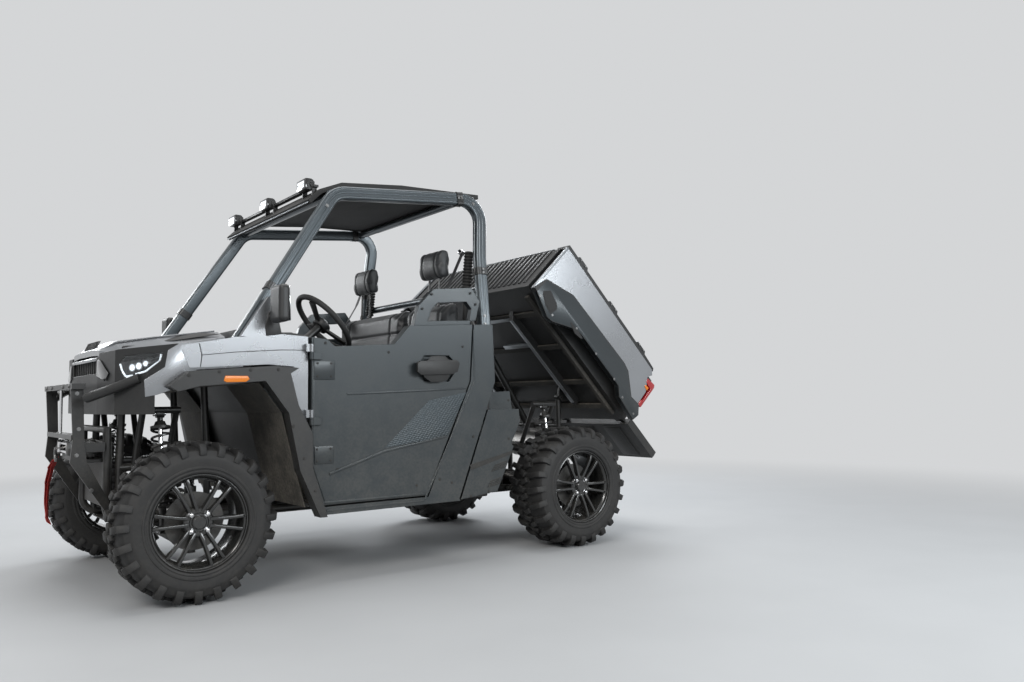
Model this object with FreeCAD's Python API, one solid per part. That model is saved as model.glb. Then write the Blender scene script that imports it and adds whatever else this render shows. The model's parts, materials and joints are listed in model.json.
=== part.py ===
import FreeCAD, Part
import math
import os

os.makedirs("parts", exist_ok=True)
V = FreeCAD.Vector

# A side by side utility vehicle with two doors, a roll cage and a tipping cargo bed.
# Sizes are in millimetres and angles in degrees. X points forward, Y left and Z up from the ground.
# Stations along X are counted from the rear axle while the pieces are made. save() then moves each
# piece so that X is zero halfway along the parked vehicle, with its bed tipped and tailgate open.
HALFWAY = 857.5
GAP = 6.0
SEAT_GAP = 0.3

# Wheels, tyres and axles
WHEELBASE = 2050.0
TYRE_RADIUS = 325.0
TYRE_OUTER = 797.0
FRONT_TYRE = 229.0
REAR_TYRE = 279.0
LUG_COUNT = 24
LUG_HEIGHT = 23.0
RIM_RADIUS = 195.0
RIM_WELL = 176.0
RIM_INSET = 12.0
SPOKE_PAIRS = 6
HUB_RADIUS = 62.0
KINGPIN_Y = 640.0
KINGPIN_REACH = 92.0
BALL_STACK = 44.0
HUB_BACK = 60.0
SPINDLE_RADIUS = 40.0
STEER_ARM_Z = 373.0
CASE_HALF = 105.0
CUP_RADIUS = 56.0
CUP_BORE = 43.0
JOINT_BALL = 38.0
SHAFT_RADIUS = 13.0
AXLE_Z = TYRE_RADIUS

# Chassis
RAIL_Y = 250.0
RAIL_Z = 291.0
RAIL_RADIUS = 17.0
CROSS_Z = 322.0
CROSS_RADIUS = 15.0
SKID_THICK = 5.0
FRAME_FRONT = 2290.0
FRAME_REAR = -470.0
ARM_RADIUS = 14.0
ARM_EYE = 20.0
ARM_SPREAD = 120.0
UPPER_RAIL_Z = 525.0
TOWER_Z = 775.0
POST_Y = 668.0
PIVOT_EYE = 19.0
TOWER_RADIUS = 14.0
TOWER_REACH = 70.0
PIVOT_PIN = 9.0
RECEIVER_IN = 25.4
RECEIVER_OUT = 32.0
HITCH_PIN = 8.2
SHOCK_HEAD_Y = 385.0
SHOCK_FOOT_Y = 470.0
SHOCK_FOOT_Z = 269.8
SHOCK_AHEAD = 58.0
SHOCK_WIDE = 44.0
COIL_TURNS = 7

# Cab
FLOOR_THICK = 6.0
FLOOR_Z = CROSS_Z + CROSS_RADIUS + SEAT_GAP + FLOOR_THICK / 2
CAB_HALF = 650.0
DOOR_OUTER = 752.0
DOOR_THICK = 52.0
DOOR_HINGE_X = 1572.0
DOOR_HINGE_Y = 766.0
HINGE_HEIGHTS = (700.0, 990.0)
HINGE_HALF = 34.0
SILL_TOP = 341.0
WHEEL_X = 1345.0
WHEEL_Y = 395.0
WHEEL_Z = 1190.0
WHEEL_RIM = 165.0
WHEEL_TILT = 48.0
COLUMN_LENGTH = 330.0
RACK_X = WHEELBASE - 100
ENGINE_TOP = 650.0
MUFFLER_X = -300.0
MUFFLER_Z = 520.0

# Roll cage: the side hoop leans inwards as it rises
CAGE_FOOT_Z = 1083.0
CAGE_FOOT_Y = 676.0
CAGE_ROOF_Y = 600.0
CAGE_ROOF_Z = 1850.0
CAGE_WIDE = 62.0
CAGE_DEEP = 48.0
CAGE_REAR_X = 567.0
CAGE_REAR_FOOT = 1150.0
COWL_TUBE_X = 1885.0
COWL_TUBE_Z = 1012.0
CAGE_BEND = 110.0
ROOF_THICK = 22.0
ROOF_HALF = 566.0
POD_SPREAD = 483.0

# Nose
NOSE_X = 2335.0
NOSE_HALF = 277.0
NOSE_Z = 1009.0
COWL_X = 1885.0
HOOD_REAR_HALF = 560.0
HOOD_HINGE_X = 1877.0
HOOD_HINGE_Z = 1106.0
PANEL = 4.0
HOOD_THICK = 26.0
SLAT_COUNT = 12
FLARE_OUTER = 807.0
FENDER_OUTER = 742.0
BUMPER_X = 2449.0
BUMPER_HALF = 340.0

# Cargo bed, measured as it lies closed: U runs back from its front, D runs down from its top
BED_FRONT = 528.0
BED_TOP = 1180.0
BED_TILT = 46.0
BED_PIVOT_X = -286.7
BED_PIVOT_Z = 815.9
BED_LENGTH = 1040.0
BED_DEPTH = 300.0
BED_FLOOR = 30.0
BED_WALL = 36.0
BED_INNER = 610.0
BED_SKIN = 715.0
GATE_HINGE_U = 1070.0
GATE_HINGE_D = 306.0
GATE_HALF = 640.0
GATE_THICK = 46.0
GATE_HEIGHT = 292.0
LIFT_X = -240.0
LIFT_Z = 640.0
LIFT_U = 115.0
LIFT_D = 368.0
LIFT_BARREL = 570.0
LIFT_ROD = 600.0


def save(name, *solids):
    """Write the solids of one sub-part, moved to the vehicle's own origin."""
    shape = solids[0] if len(solids) == 1 else Part.makeCompound(list(solids))
    moved = shape.copy()
    moved.translate(V(-HALFWAY, 0, 0))
    moved.exportStep("parts/" + name + ".step")


def box(x0, x1, y0, y1, z0, z1):
    return Part.makeBox(x1 - x0, y1 - y0, z1 - z0, V(x0, y0, z0))


def prism(corners, axis, low, high):
    """Extrude a flat outline along one axis. Outlines are (x, z) for y, (x, y) for z and (y, z) for x."""
    place = {"y": lambda a, b: V(a, low, b), "z": lambda a, b: V(a, b, low), "x": lambda a, b: V(low, a, b)}
    way = {"y": V(0, high - low, 0), "z": V(0, 0, high - low), "x": V(high - low, 0, 0)}
    points = [place[axis](a, b) for a, b in corners]
    return Part.Face(Part.makePolygon(points + points[:1])).extrude(way[axis])


def other_side(shape):
    return shape.mirror(V(0, 0, 0), V(0, 1, 0))


def both_sides(shape):
    return [shape, other_side(shape)]


def fuse(solids):
    joined = solids[0]
    if len(solids) > 1:
        joined = joined.multiFuse(solids[1:])
    return joined.removeSplitter()


def rounded_run(points, radius):
    """Edges through points in space: straight runs joined by tangent arcs of one radius."""
    edges = []
    start = points[0]
    for before, corner, after in zip(points, points[1:], points[2:]):
        back = (before - corner).normalize()
        ahead = (after - corner).normalize()
        half = back.getAngle(ahead) / 2
        inward = (back + ahead).normalize()
        into = corner + back * (radius / math.tan(half))
        out = corner + ahead * (radius / math.tan(half))
        middle = corner + inward * (radius / math.sin(half) - radius)
        edges.append(Part.LineSegment(start, into).toShape())
        edges.append(Part.Arc(into, middle, out).toShape())
        start = out
    edges.append(Part.LineSegment(start, points[-1]).toShape())
    return edges


def tube(points, radius, bend=60.0):
    """A round bar along straight runs and bends."""
    stations = [V(*p) for p in points]
    way = stations[1] - stations[0]
    if len(stations) == 2:
        return Part.makeCylinder(radius, way.Length, stations[0], way)
    ring = Part.Wire(Part.makeCircle(radius, stations[0], way))
    return Part.Wire(rounded_run(stations, bend)).makePipeShell([ring], True, False)


def ring_y(outer, inner, y0, y1, x, z):
    """A ring whose axis runs along Y."""
    body = Part.makeCylinder(outer, y1 - y0, V(x, y0, z), V(0, 1, 0))
    if inner:
        body = body.cut(Part.makeCylinder(inner, y1 - y0, V(x, y0, z), V(0, 1, 0)))
    return body


def turned(profile, x, z):
    """Turn a closed (y, radius) outline about the axle line at station x and height z."""
    points = [V(x, y, z + r) for y, r in profile]
    face = Part.Face(Part.makePolygon(points + points[:1]))
    return face.revolve(V(x, 0, z), V(0, 1, 0), 360)


def offset_line(points, reach):
    """Shift an open (x, z) line sideways, keeping its runs parallel."""
    shifted = []
    normals = []
    for (x0, z0), (x1, z1) in zip(points, points[1:]):
        length = math.hypot(x1 - x0, z1 - z0)
        normals.append((-(z1 - z0) / length, (x1 - x0) / length))
    for i, (x, z) in enumerate(points):
        first = normals[max(i - 1, 0)]
        last = normals[min(i, len(normals) - 1)]
        scale = reach / (1 + first[0] * last[0] + first[1] * last[1])
        shifted.append((x + (first[0] + last[0]) * scale, z + (first[1] + last[1]) * scale))
    return shifted


def strip(points, width, y0, y1):
    """A flat band of one width along an (x, z) line, extruded along Y."""
    corners = offset_line(points, width / 2) + offset_line(points, -width / 2)[::-1]
    return prism(corners, "y", y0, y1)


# Wheels

def lug(half, turn, lean):
    """One tread bar, from near the middle of the tread to the shoulder, at one turn about the axle."""
    rows = (
        # (share of the half width, lead along the tread, half length, lowest radius, top radius)
        (0.06, lean, 11.0, TYRE_RADIUS - 31, TYRE_RADIUS - 1),
        (0.74, 0.0, 15.0, TYRE_RADIUS - 34, TYRE_RADIUS),
        (0.99, -3.0, 13.0, TYRE_RADIUS - 66, TYRE_RADIUS - 22),
    )
    wires = []
    for share, lead, reach, low, high in rows:
        y = half * share
        corners = [V(lead - reach, y, low), V(lead + reach, y, low), V(lead + reach, y, high), V(lead - reach, y, high)]
        wires.append(Part.makePolygon(corners + corners[:1]))
    bar = Part.makeLoft(wires, True, True)
    bar.rotate(V(0, 0, 0), V(0, 1, 0), turn)
    return bar


def tyre(width):
    """A tyre about the Y axis, centred on the origin, with its tread bars."""
    half = width / 2
    carcass = TYRE_RADIUS - LUG_HEIGHT
    side = [(half - 28, RIM_RADIUS - 14.7), (half - 24, RIM_RADIUS + 0.5), (half - 9, RIM_RADIUS + 2), (half - 3, 232),
            (half - 3, 262), (half - 14, 286), (half - 36, carcass)]
    body = turned(side + [(-y, r) for y, r in side[::-1]], 0, 0)
    step = 360.0 / LUG_COUNT
    bars = []
    for i in range(LUG_COUNT):
        bar = lug(half, i * step, 20.0)
        bars.append(bar)
        twin = lug(half, (i + 0.5) * step, 20.0)
        bars.append(other_side(twin))
    return fuse([body] + bars)


def rim(width):
    """An alloy wheel about the Y axis with paired spokes. Its outer face looks along +Y."""
    half = width / 2
    lip = half - RIM_INSET
    barrel = [(lip, RIM_RADIUS), (lip, RIM_RADIUS - 12), (lip - 14, RIM_WELL), (-lip + 14, RIM_WELL - 4),
              (-lip, RIM_RADIUS - 12), (-lip, RIM_RADIUS), (-lip + 10, RIM_RADIUS - 2), (-lip + 14, RIM_RADIUS - 15),
              (lip - 14, RIM_RADIUS - 15), (lip - 10, RIM_RADIUS - 2)]
    pieces = [turned(barrel, 0, 0)]
    face = lip - 26
    hub = [(face, 0), (face, HUB_RADIUS - 8), (face - 10, HUB_RADIUS), (face - 34, HUB_RADIUS), (face - 34, 0)]
    pieces.append(turned(hub, 0, 0))
    for i in range(SPOKE_PAIRS):
        for side in (-1, 1):
            root = V(side * 15.0, face - 22, HUB_RADIUS - 14)
            tip = V(side * 27.0, lip - 24, RIM_WELL)
            wires = []
            for place, wide, deep in ((root, 9.0, 12.0), (tip, 8.0, 11.0)):
                corners = [place + V(a, b, 0) for a, b in ((-wide, -deep), (wide, -deep), (wide * 0.6, deep), (-wide * 0.6, deep))]
                wires.append(Part.makePolygon(corners + corners[:1]))
            spoke = Part.makeLoft(wires, True, True)
            spoke.rotate(V(0, 0, 0), V(0, 1, 0), i * 360.0 / SPOKE_PAIRS)
            pieces.append(spoke)
    return fuse(pieces)


def placed(shape, x, y, side):
    """Put a wheel piece made for the left side at its axle, mirrored for the right."""
    copy = shape.copy()
    copy.translate(V(x, y, AXLE_Z))
    return copy if side > 0 else other_side(copy)


def wheels():
    rows = (
        # (axle, station, tyre width)
        ("front", WHEELBASE, FRONT_TYRE),
        ("rear", 0.0, REAR_TYRE),
    )
    for axle, station, width in rows:
        middle = TYRE_OUTER - width / 2
        rubber = tyre(width)
        metal = rim(width)
        for name, side in (("left", 1), ("right", -1)):
            save(axle + "_tyre_" + name, placed(rubber, station, middle, side))
            save(axle + "_rim_" + name, placed(metal, station, middle, side))


# Axles

def knuckle(station, steered):
    """The upright that carries the left wheel of an axle: a cup for the shaft joint and its arms."""
    inner = KINGPIN_Y - 34
    hub_end = TYRE_OUTER - RIM_INSET - HUB_BACK - SEAT_GAP
    pieces = [ring_y(CUP_RADIUS, CUP_BORE, inner, KINGPIN_Y + 42, station, AXLE_Z)]
    pieces.append(ring_y(CUP_RADIUS, 0, KINGPIN_Y + 41, KINGPIN_Y + 50, station, AXLE_Z))
    pieces.append(ring_y(SPINDLE_RADIUS, 0, KINGPIN_Y + 49, hub_end, station, AXLE_Z))
    for way in (-1, 1):
        heights = sorted((AXLE_Z + way * (CUP_RADIUS - 8), AXLE_Z + way * KINGPIN_REACH))
        pieces.append(box(station - 20, station + 20, KINGPIN_Y - 22, KINGPIN_Y + 22, heights[0], heights[1]))
    pieces.append(box(station - 112, station - 44, inner + 6, KINGPIN_Y + 40, AXLE_Z - 34, AXLE_Z + 30))
    if steered:
        pieces.append(box(station - 112, station - 30, inner, inner + 30, AXLE_Z + 30, STEER_ARM_Z))
    return fuse(pieces)


def wishbone(station, inner_z, ball_z, spread):
    """Two tubes from their eyes on the frame to one ball joint on the kingpin line."""
    inner_y = RAIL_Y + RAIL_RADIUS + ARM_EYE + SEAT_GAP
    pieces = [Part.makeCylinder(24, BALL_STACK, V(station, KINGPIN_Y, ball_z - BALL_STACK / 2), V(0, 0, 1))]
    for reach in spread:
        root = (station + reach, inner_y, inner_z)
        pieces.append(tube([root, (station, KINGPIN_Y, ball_z)], ARM_RADIUS))
        pieces.append(Part.makeCylinder(ARM_EYE, 52, V(root[0] - 26, inner_y, inner_z), V(1, 0, 0)))
    return fuse(pieces)


def shock(station, ahead):
    """A coil spring over its damper, from the lower wishbone up to the frame's tower."""
    foot = V(station + ahead, SHOCK_FOOT_Y, SHOCK_FOOT_Z)
    head = V(station + ahead, SHOCK_HEAD_Y, TOWER_Z - TOWER_RADIUS - 1 - SEAT_GAP)
    length = (head - foot).Length
    seat = 100.0
    outline = [(0, 0), (15, 0), (15, seat), (SHOCK_WIDE, seat), (SHOCK_WIDE, seat + 10)]
    base = seat + 14
    pitch = (length - seat - 80) / COIL_TURNS
    for i in range(COIL_TURNS):
        outline += [(SHOCK_WIDE - 12, base), (SHOCK_WIDE - 1, base + pitch * 0.3), (SHOCK_WIDE - 1, base + pitch * 0.6),
                    (SHOCK_WIDE - 12, base + pitch * 0.9)]
        base += pitch
    outline += [(SHOCK_WIDE, length - 60), (SHOCK_WIDE, length - 50), (18, length - 50), (18, length), (0, length)]
    points = [V(r, 0, z) for r, z in outline]
    spring = Part.Face(Part.makePolygon(points + points[:1])).revolve(V(0, 0, 0), V(0, 0, 1), 360)
    spring.Placement = FreeCAD.Placement(foot, FreeCAD.Rotation(V(0, 0, 1), head - foot))
    return spring


def half_shaft(station):
    """From the drive case to the shaft joint's ball, inside the knuckle's cup."""
    shaft = Part.makeCylinder(SHAFT_RADIUS, KINGPIN_Y - CASE_HALF - SEAT_GAP,
                              V(station, CASE_HALF + SEAT_GAP, AXLE_Z), V(0, 1, 0))
    ball = Part.makeSphere(JOINT_BALL, V(station, KINGPIN_Y, AXLE_Z))
    boot = Part.makeCone(42, 22, 70, V(station, CASE_HALF + SEAT_GAP, AXLE_Z), V(0, 1, 0))
    return fuse([shaft, ball, boot])


def running_gear():
    rows = (
        # (station, steered, which way the shock absorber stands off the axle)
        (WHEELBASE, True, 1),
        (0.0, False, -1),
    )
    ball_reach = KINGPIN_REACH + SEAT_GAP + BALL_STACK / 2
    arms = []
    shocks = []
    shafts = []
    for station, steered, way in rows:
        arms += both_sides(wishbone(station, RAIL_Z, AXLE_Z - ball_reach, (-ARM_SPREAD, ARM_SPREAD)))
        arms += both_sides(wishbone(station, UPPER_RAIL_Z, AXLE_Z + ball_reach, (-way * 57.0, -way * 110.0)))
        shocks += both_sides(shock(station, way * SHOCK_AHEAD))
        shafts += both_sides(half_shaft(station))
        upright = knuckle(station, steered)
        if steered:
            save("knuckle_left", upright)
            save("knuckle_right", other_side(upright))
        else:
            save("rear_uprights", *both_sides(upright))
    save("wishbones", *arms)
    save("shock_absorbers", *shocks)
    save("half_shafts", *shafts)


def drive_train():
    base = RAIL_Z - RAIL_RADIUS
    cases = [soften(box(x - 70, x + 70, -CASE_HALF, CASE_HALF, base, 2 * AXLE_Z - base), 22) for x in (0.0, WHEELBASE)]
    engine = soften(box(100, 500, -215, 215, base, ENGINE_TOP), 40)
    save("engine_and_drives", engine, *cases)
    can = Part.makeCylinder(80, 360, V(MUFFLER_X, -180, MUFFLER_Z), V(0, 1, 0))
    pipe = Part.makeCylinder(24, 75, V(MUFFLER_X - 75, 110, MUFFLER_Z), V(-1, 0, 0))
    hanger = box(MUFFLER_X - 12, MUFFLER_X + 12, -40, 40, MUFFLER_Z + 60, LIFT_Z - 15 - SEAT_GAP)
    save("muffler", fuse([can, pipe, hanger]))


def steering():
    rack_z = STEER_ARM_Z + 1 + 11
    pin_y = KINGPIN_Y - 34 + 15
    rod = tube([(RACK_X, -pin_y, rack_z), (RACK_X, pin_y, rack_z)], 9)
    eyes = [Part.makeCylinder(15, 22, V(RACK_X, way * pin_y, rack_z - 11), V(0, 0, 1)) for way in (-1, 1)]
    save("tie_rods", fuse([rod] + eyes))
    housing = Part.makeCylinder(24, 300, V(RACK_X, -150, rack_z), V(0, 1, 0))
    bracket = box(RACK_X - 15, RACK_X + 15, -70, 70, CROSS_Z + CROSS_RADIUS + SEAT_GAP, rack_z)
    housing = fuse([housing, bracket]).cut(Part.makeCylinder(10, 300, V(RACK_X, -150, rack_z), V(0, 1, 0)))

    centre = V(WHEEL_X, WHEEL_Y, WHEEL_Z)
    tilt = FreeCAD.Rotation(V(0, 1, 0), -WHEEL_TILT)
    parts = [Part.makeTorus(WHEEL_RIM, 14, V(0, 0, 0), V(0, 0, 1)), Part.makeCylinder(46, 34, V(0, 0, -34), V(0, 0, 1))]
    for turn in (0, 120, 240):
        spoke = box(30, WHEEL_RIM, -17, 17, -16, -4)
        spoke.rotate(V(0, 0, 0), V(0, 0, 1), turn)
        parts.append(spoke)
    handwheel = fuse(parts)
    handwheel.Placement = FreeCAD.Placement(centre, tilt)
    save("steering_wheel", handwheel)
    save("steering_gear", housing, column(20))


def column(radius):
    piece = Part.makeCylinder(radius, COLUMN_LENGTH, V(0, 0, -34 - SEAT_GAP - COLUMN_LENGTH), V(0, 0, 1))
    piece.Placement = FreeCAD.Placement(V(WHEEL_X, WHEEL_Y, WHEEL_Z), FreeCAD.Rotation(V(0, 1, 0), -WHEEL_TILT))
    return piece


# Chassis

def soften(shape, radius):
    """Round the upright and level edges of a simple block."""
    return shape.makeFillet(radius, shape.Edges)


def frame():
    pieces = []
    cowl = (COWL_TUBE_X, COWL_TUBE_Z)
    for way in (-1, 1):
        y = way * RAIL_Y
        runs = (
            # (radius, points)
            (14, [(FRAME_REAR, y, RAIL_Z), (FRAME_REAR, y, 540)]),
            (16, [(BED_PIVOT_X, y, RAIL_Z), (BED_PIVOT_X, y, BED_PIVOT_Z)]),
            (17, [(FRAME_REAR, y, UPPER_RAIL_Z), (CAGE_REAR_X, y, UPPER_RAIL_Z)]),
            (16, [(CAGE_REAR_X, y, RAIL_Z), (CAGE_REAR_X, y, 700)]),
            (16, [(1860, y, UPPER_RAIL_Z), (cowl[0], y, cowl[1])]),
            (16, [(2240, y, UPPER_RAIL_Z), (2230, y, 930)]),
            (14, [(cowl[0], y, cowl[1]), (2230, y, 930)]),
            (CROSS_RADIUS, [(CAGE_REAR_X, way * POST_Y, CROSS_Z), (1500, way * POST_Y, CROSS_Z)]),
            (22, [(CAGE_REAR_X, way * POST_Y, CROSS_Z), (CAGE_REAR_X, way * POST_Y, CAGE_REAR_FOOT)]),
        )
        pieces += [tube(points, radius) for radius, points in runs]
        pieces.append(tube([(FRAME_REAR, y, RAIL_Z), (FRAME_FRONT, y, RAIL_Z), (FRAME_FRONT, y, 700)], RAIL_RADIUS, 70))
        pieces.append(tube([(WHEELBASE - 190, y, UPPER_RAIL_Z), (WHEELBASE + 190, y, UPPER_RAIL_Z)], 17))
        for station in (0.0, WHEELBASE):
            ahead = station + (SHOCK_AHEAD if station else -SHOCK_AHEAD)
            legs = [(ahead - TOWER_REACH, TOWER_Z), (ahead + TOWER_REACH, TOWER_Z)]
            pieces += [tube([(x, y, UPPER_RAIL_Z), (x, way * SHOCK_HEAD_Y, z)], TOWER_RADIUS) for x, z in legs]
            pieces.append(tube([(legs[0][0] - 16, way * SHOCK_HEAD_Y, TOWER_Z), (legs[1][0] + 16, way * SHOCK_HEAD_Y, TOWER_Z)],
                               TOWER_RADIUS + 1))
            for reach in (-190, 190):
                pieces.append(tube([(station + reach, y, RAIL_Z), (station + reach, y, UPPER_RAIL_Z)], 15))
        pieces.append(ring_y(PIVOT_EYE, 0, y - 18, y + 18, BED_PIVOT_X, BED_PIVOT_Z))
        pin_ends = sorted((y, way * (RAIL_Y + 46)))
        pieces.append(ring_y(PIVOT_PIN, 0, pin_ends[0], pin_ends[1], BED_PIVOT_X, BED_PIVOT_Z))
        inner, outer = sorted((way * 350, way * 379.7))
        pieces.append(box(HOOD_HINGE_X - 3, HOOD_HINGE_X + 3, inner, outer, cowl[1], HOOD_HINGE_Z))
        pieces.append(ring_y(6, 0, inner, outer, HOOD_HINGE_X, HOOD_HINGE_Z))
        pieces.append(box(2230, 2295.7, y - 12, y + 12, 905, 930))
        pieces.append(prism([(LIFT_X + 18, LIFT_Z - 18), (LIFT_X + 18, LIFT_Z + 14), (BED_PIVOT_X, LIFT_Z + 14),
                             (BED_PIVOT_X, LIFT_Z - 18)], "y", *sorted((way * 16, way * 22))))
    crosses = (
        # (station, height, half length)
        (FRAME_REAR + 2, RAIL_Z, RAIL_Y), (FRAME_REAR + 3, UPPER_RAIL_Z, RAIL_Y), (BED_PIVOT_X, LIFT_Z, RAIL_Y), (0.0, 535, RAIL_Y),
        (CAGE_REAR_X, 700, POST_Y), (800, CROSS_Z, POST_Y), (1000, CROSS_Z, POST_Y), (1440, CROSS_Z, POST_Y),
        (RACK_X, CROSS_Z, RAIL_Y),
        (cowl[0], cowl[1], 684), (2230, 915, RAIL_Y), (FRAME_FRONT, 692, RAIL_Y),
    )
    pieces += [tube([(x, -half, z), (x, half, z)], CROSS_RADIUS) for x, z, half in crosses]
    pieces.append(ring_y(8, 0, -20, 20, LIFT_X, LIFT_Z))
    receiver = box(-560, FRAME_REAR + 16, -RECEIVER_OUT, RECEIVER_OUT, RAIL_Z - RECEIVER_OUT, RAIL_Z + RECEIVER_OUT)
    bore = box(-561, FRAME_REAR - 17, -RECEIVER_IN, RECEIVER_IN, RAIL_Z - RECEIVER_IN, RAIL_Z + RECEIVER_IN)
    pin = ring_y(HITCH_PIN, 0, -RECEIVER_OUT - 1, RECEIVER_OUT + 1, -525, RAIL_Z)
    whole = fuse(pieces + [receiver]).cut(bore).cut(pin)
    save("chassis_frame", whole)
    skid_z = RAIL_Z - RAIL_RADIUS - SEAT_GAP
    save("skid_plate", box(-400, 2240, -262, 262, skid_z - SKID_THICK, skid_z))
    inside = RAIL_Y - RAIL_RADIUS - SEAT_GAP
    save("radiator", soften(box(2262, 2286, -inside, inside, 350, 640), 6))


# Roll cage and roof

def lean(shape):
    """Tip a side hoop made upright at y = 0 so that it leans inwards as it rises."""
    angle = math.degrees(math.atan2(CAGE_FOOT_Y - CAGE_ROOF_Y, CAGE_ROOF_Z - CAGE_FOOT_Z))
    shape.translate(V(0, CAGE_FOOT_Y, 0))
    shape.rotate(V(0, CAGE_FOOT_Y, CAGE_FOOT_Z), V(1, 0, 0), angle)
    return shape


def cage_line():
    """Centre line of the side hoop: windscreen pillar, roof rail and rear pillar."""
    return [(COWL_TUBE_X + 5, COWL_TUBE_Z + 18), (1392, 1795), (CAGE_REAR_X - 27, 1876), (CAGE_REAR_X, 1560),
            (CAGE_REAR_X, CAGE_REAR_FOOT + SEAT_GAP)]


def side_hoop(grow=0.0):
    wide = CAGE_WIDE / 2 + grow
    deep = CAGE_DEEP / 2 + grow
    points = [V(x, 0, z) for x, z in cage_line()]
    line = Part.Wire(rounded_run(points, CAGE_BEND))
    way = (points[1] - points[0]).normalize()
    across = V(way.z, 0, -way.x)
    corners = [points[0] + across * a + V(0, b, 0)
               for a, b in ((-wide, -deep), (wide, -deep), (wide, deep), (-wide, deep))]
    section = Part.makePolygon(corners + corners[:1])
    hoop = line.makePipeShell([section], True, False)
    return lean(hoop)


def roll_cage():
    hoop = side_hoop()
    cage = fuse(both_sides(hoop) + cage_crosses())
    cage = cage.cut(box(500, 700, -800, 800, 1000, CAGE_REAR_FOOT + SEAT_GAP))
    cowl = tube([(COWL_TUBE_X, -720, COWL_TUBE_Z), (COWL_TUBE_X, 720, COWL_TUBE_Z)], CROSS_RADIUS + SEAT_GAP)
    save("roll_cage", *largest(cage.cut(cowl)))


def roof():
    line = [(1497, 1748), (1440, 1804), (1330, 1850), (1000, 1884), (CAGE_REAR_X - 40, 1899)]
    panel = strip(line, ROOF_THICK, -ROOF_HALF, ROOF_HALF)
    panel = panel.cut(fuse(both_sides(side_hoop(SEAT_GAP)) + cage_crosses(SEAT_GAP)))
    save("roof", panel)
    pieces = [box(1446, 1476, -560, 560, 1822, 1836)]
    for y in (-POD_SPREAD, 0, POD_SPREAD):
        pieces.append(soften(box(1462, 1512, y - 52, y + 52, 1812, 1868), 9))
        foot = box(1448, 1474, y - 80, y - 60, 1770, 1823)
        pieces += [foot.cut(strip(line, ROOF_THICK + 2 * SEAT_GAP, -ROOF_HALF, ROOF_HALF))]
    lamps = fuse([p for piece in pieces for p in top_solid(piece)])
    save("roof_lamps", lamps)


def top_solid(shape):
    """The highest of a shape's solids, where a cut has left a scrap below it."""
    return [max(shape.Solids, key=lambda s: s.CenterOfMass.z)]


def largest(shape):
    """The largest solid of a cut shape."""
    return [max(shape.Solids, key=lambda s: s.Volume)]


def cage_crosses(grow=0.0):
    """The cage's cross tubes: over the windscreen, over the rear window and behind the seats."""
    pieces = []
    for x, z, reach in ((1392, 1791, CAGE_ROOF_Y), (640, 1864, CAGE_ROOF_Y), (CAGE_REAR_X, 1380, CAGE_ROOF_Y + 40)):
        pieces.append(tube([(x, -reach, z), (x, reach, z)], 20 + grow))
    return pieces


# Nose and front body

def hood_body(grow=0.0):
    """The hood as a crowned slab. A grown one cuts room for it in its neighbours."""
    rows = (
        # (station, half width at the seam, seam height, half width at the ridge, ridge height, crown height)
        (COWL_X - grow, HOOD_REAR_HALF, 1092, 450, 1122, 1130),
        (2128, 500, 1048, 390, 1092, 1100),
        (2276, 370, 1020, 300, 1072, 1080),
        (NOSE_X + grow, NOSE_HALF, 1009 + HOOD_THICK, 240, 1014 + HOOD_THICK, 1018 + HOOD_THICK),
    )
    wires = []
    for x, edge_y, edge_z, ridge_y, ridge_z, crown in rows:
        top = [(edge_y + grow, edge_z), (ridge_y + grow, ridge_z), (ridge_y * 0.6, crown)]
        low = [(y, z - HOOD_THICK - grow) for y, z in top]
        high = [(y, z + 3 * grow) for y, z in top]
        half = high[::-1] + low
        points = [V(x, y, z) for y, z in half] + [V(x, -y, z) for y, z in half[::-1]]
        wires.append(Part.makePolygon(points + points[:1]))
    return Part.makeLoft(wires, True, True)


def hood():
    lid = hood_body()
    ears = []
    for way in (-1, 1):
        low, high = sorted((way * 380, way * 410))
        ears.append(ring_y(6, 0, low, high, HOOD_HINGE_X, HOOD_HINGE_Z))
        ears.append(box(HOOD_HINGE_X, COWL_X + 2, low, high, HOOD_HINGE_Z - 2, HOOD_HINGE_Z + 4))
    save("hood", fuse([lid] + ears))


def wall_piece(plan, side):
    """A wall with a plan outline (x, y) cut to a side outline (x, z)."""
    return prism(plan, "z", 200, 1400).common(prism(side, "y", -900, 900))


def nose():
    plan = [(2340, 0), (2340, NOSE_HALF), (2318, 500), (2140, 738), (2133, 738), (2133, 676), (2276, 480), (2296, NOSE_HALF), (2296, 0)]
    side = [(2400, 760), (2400, 1012), (2300, 1030), (2128, 1046), (2090, 1046), (2090, 946), (2200, 872), (2200, 760)]
    half = wall_piece(plan, side)
    fascia = fuse(both_sides(half)).cut(hood_body(GAP + 4))
    pocket, lens = lamp_shapes()
    fascia = fascia.cut(box(2250, 2400, -NOSE_HALF + 20, NOSE_HALF - 20, 936, 1100))
    for one in both_sides(pocket):
        fascia = fascia.cut(one)
    save("front_fascia", fascia)
    save("headlamps", *both_sides(lens))
    slats = []
    low = 936 + SEAT_GAP
    high = NOSE_Z - GAP
    width = 2 * (NOSE_HALF - 20.3)
    for i in range(SLAT_COUNT):
        y = (i + 0.5) * width / SLAT_COUNT - width / 2
        slats.append(box(2302, 2330, y - 5, y + 5, low, high))
    back = box(2298, 2304, -width / 2, width / 2, low, high)
    save("grille", fuse([back] + slats))


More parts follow.
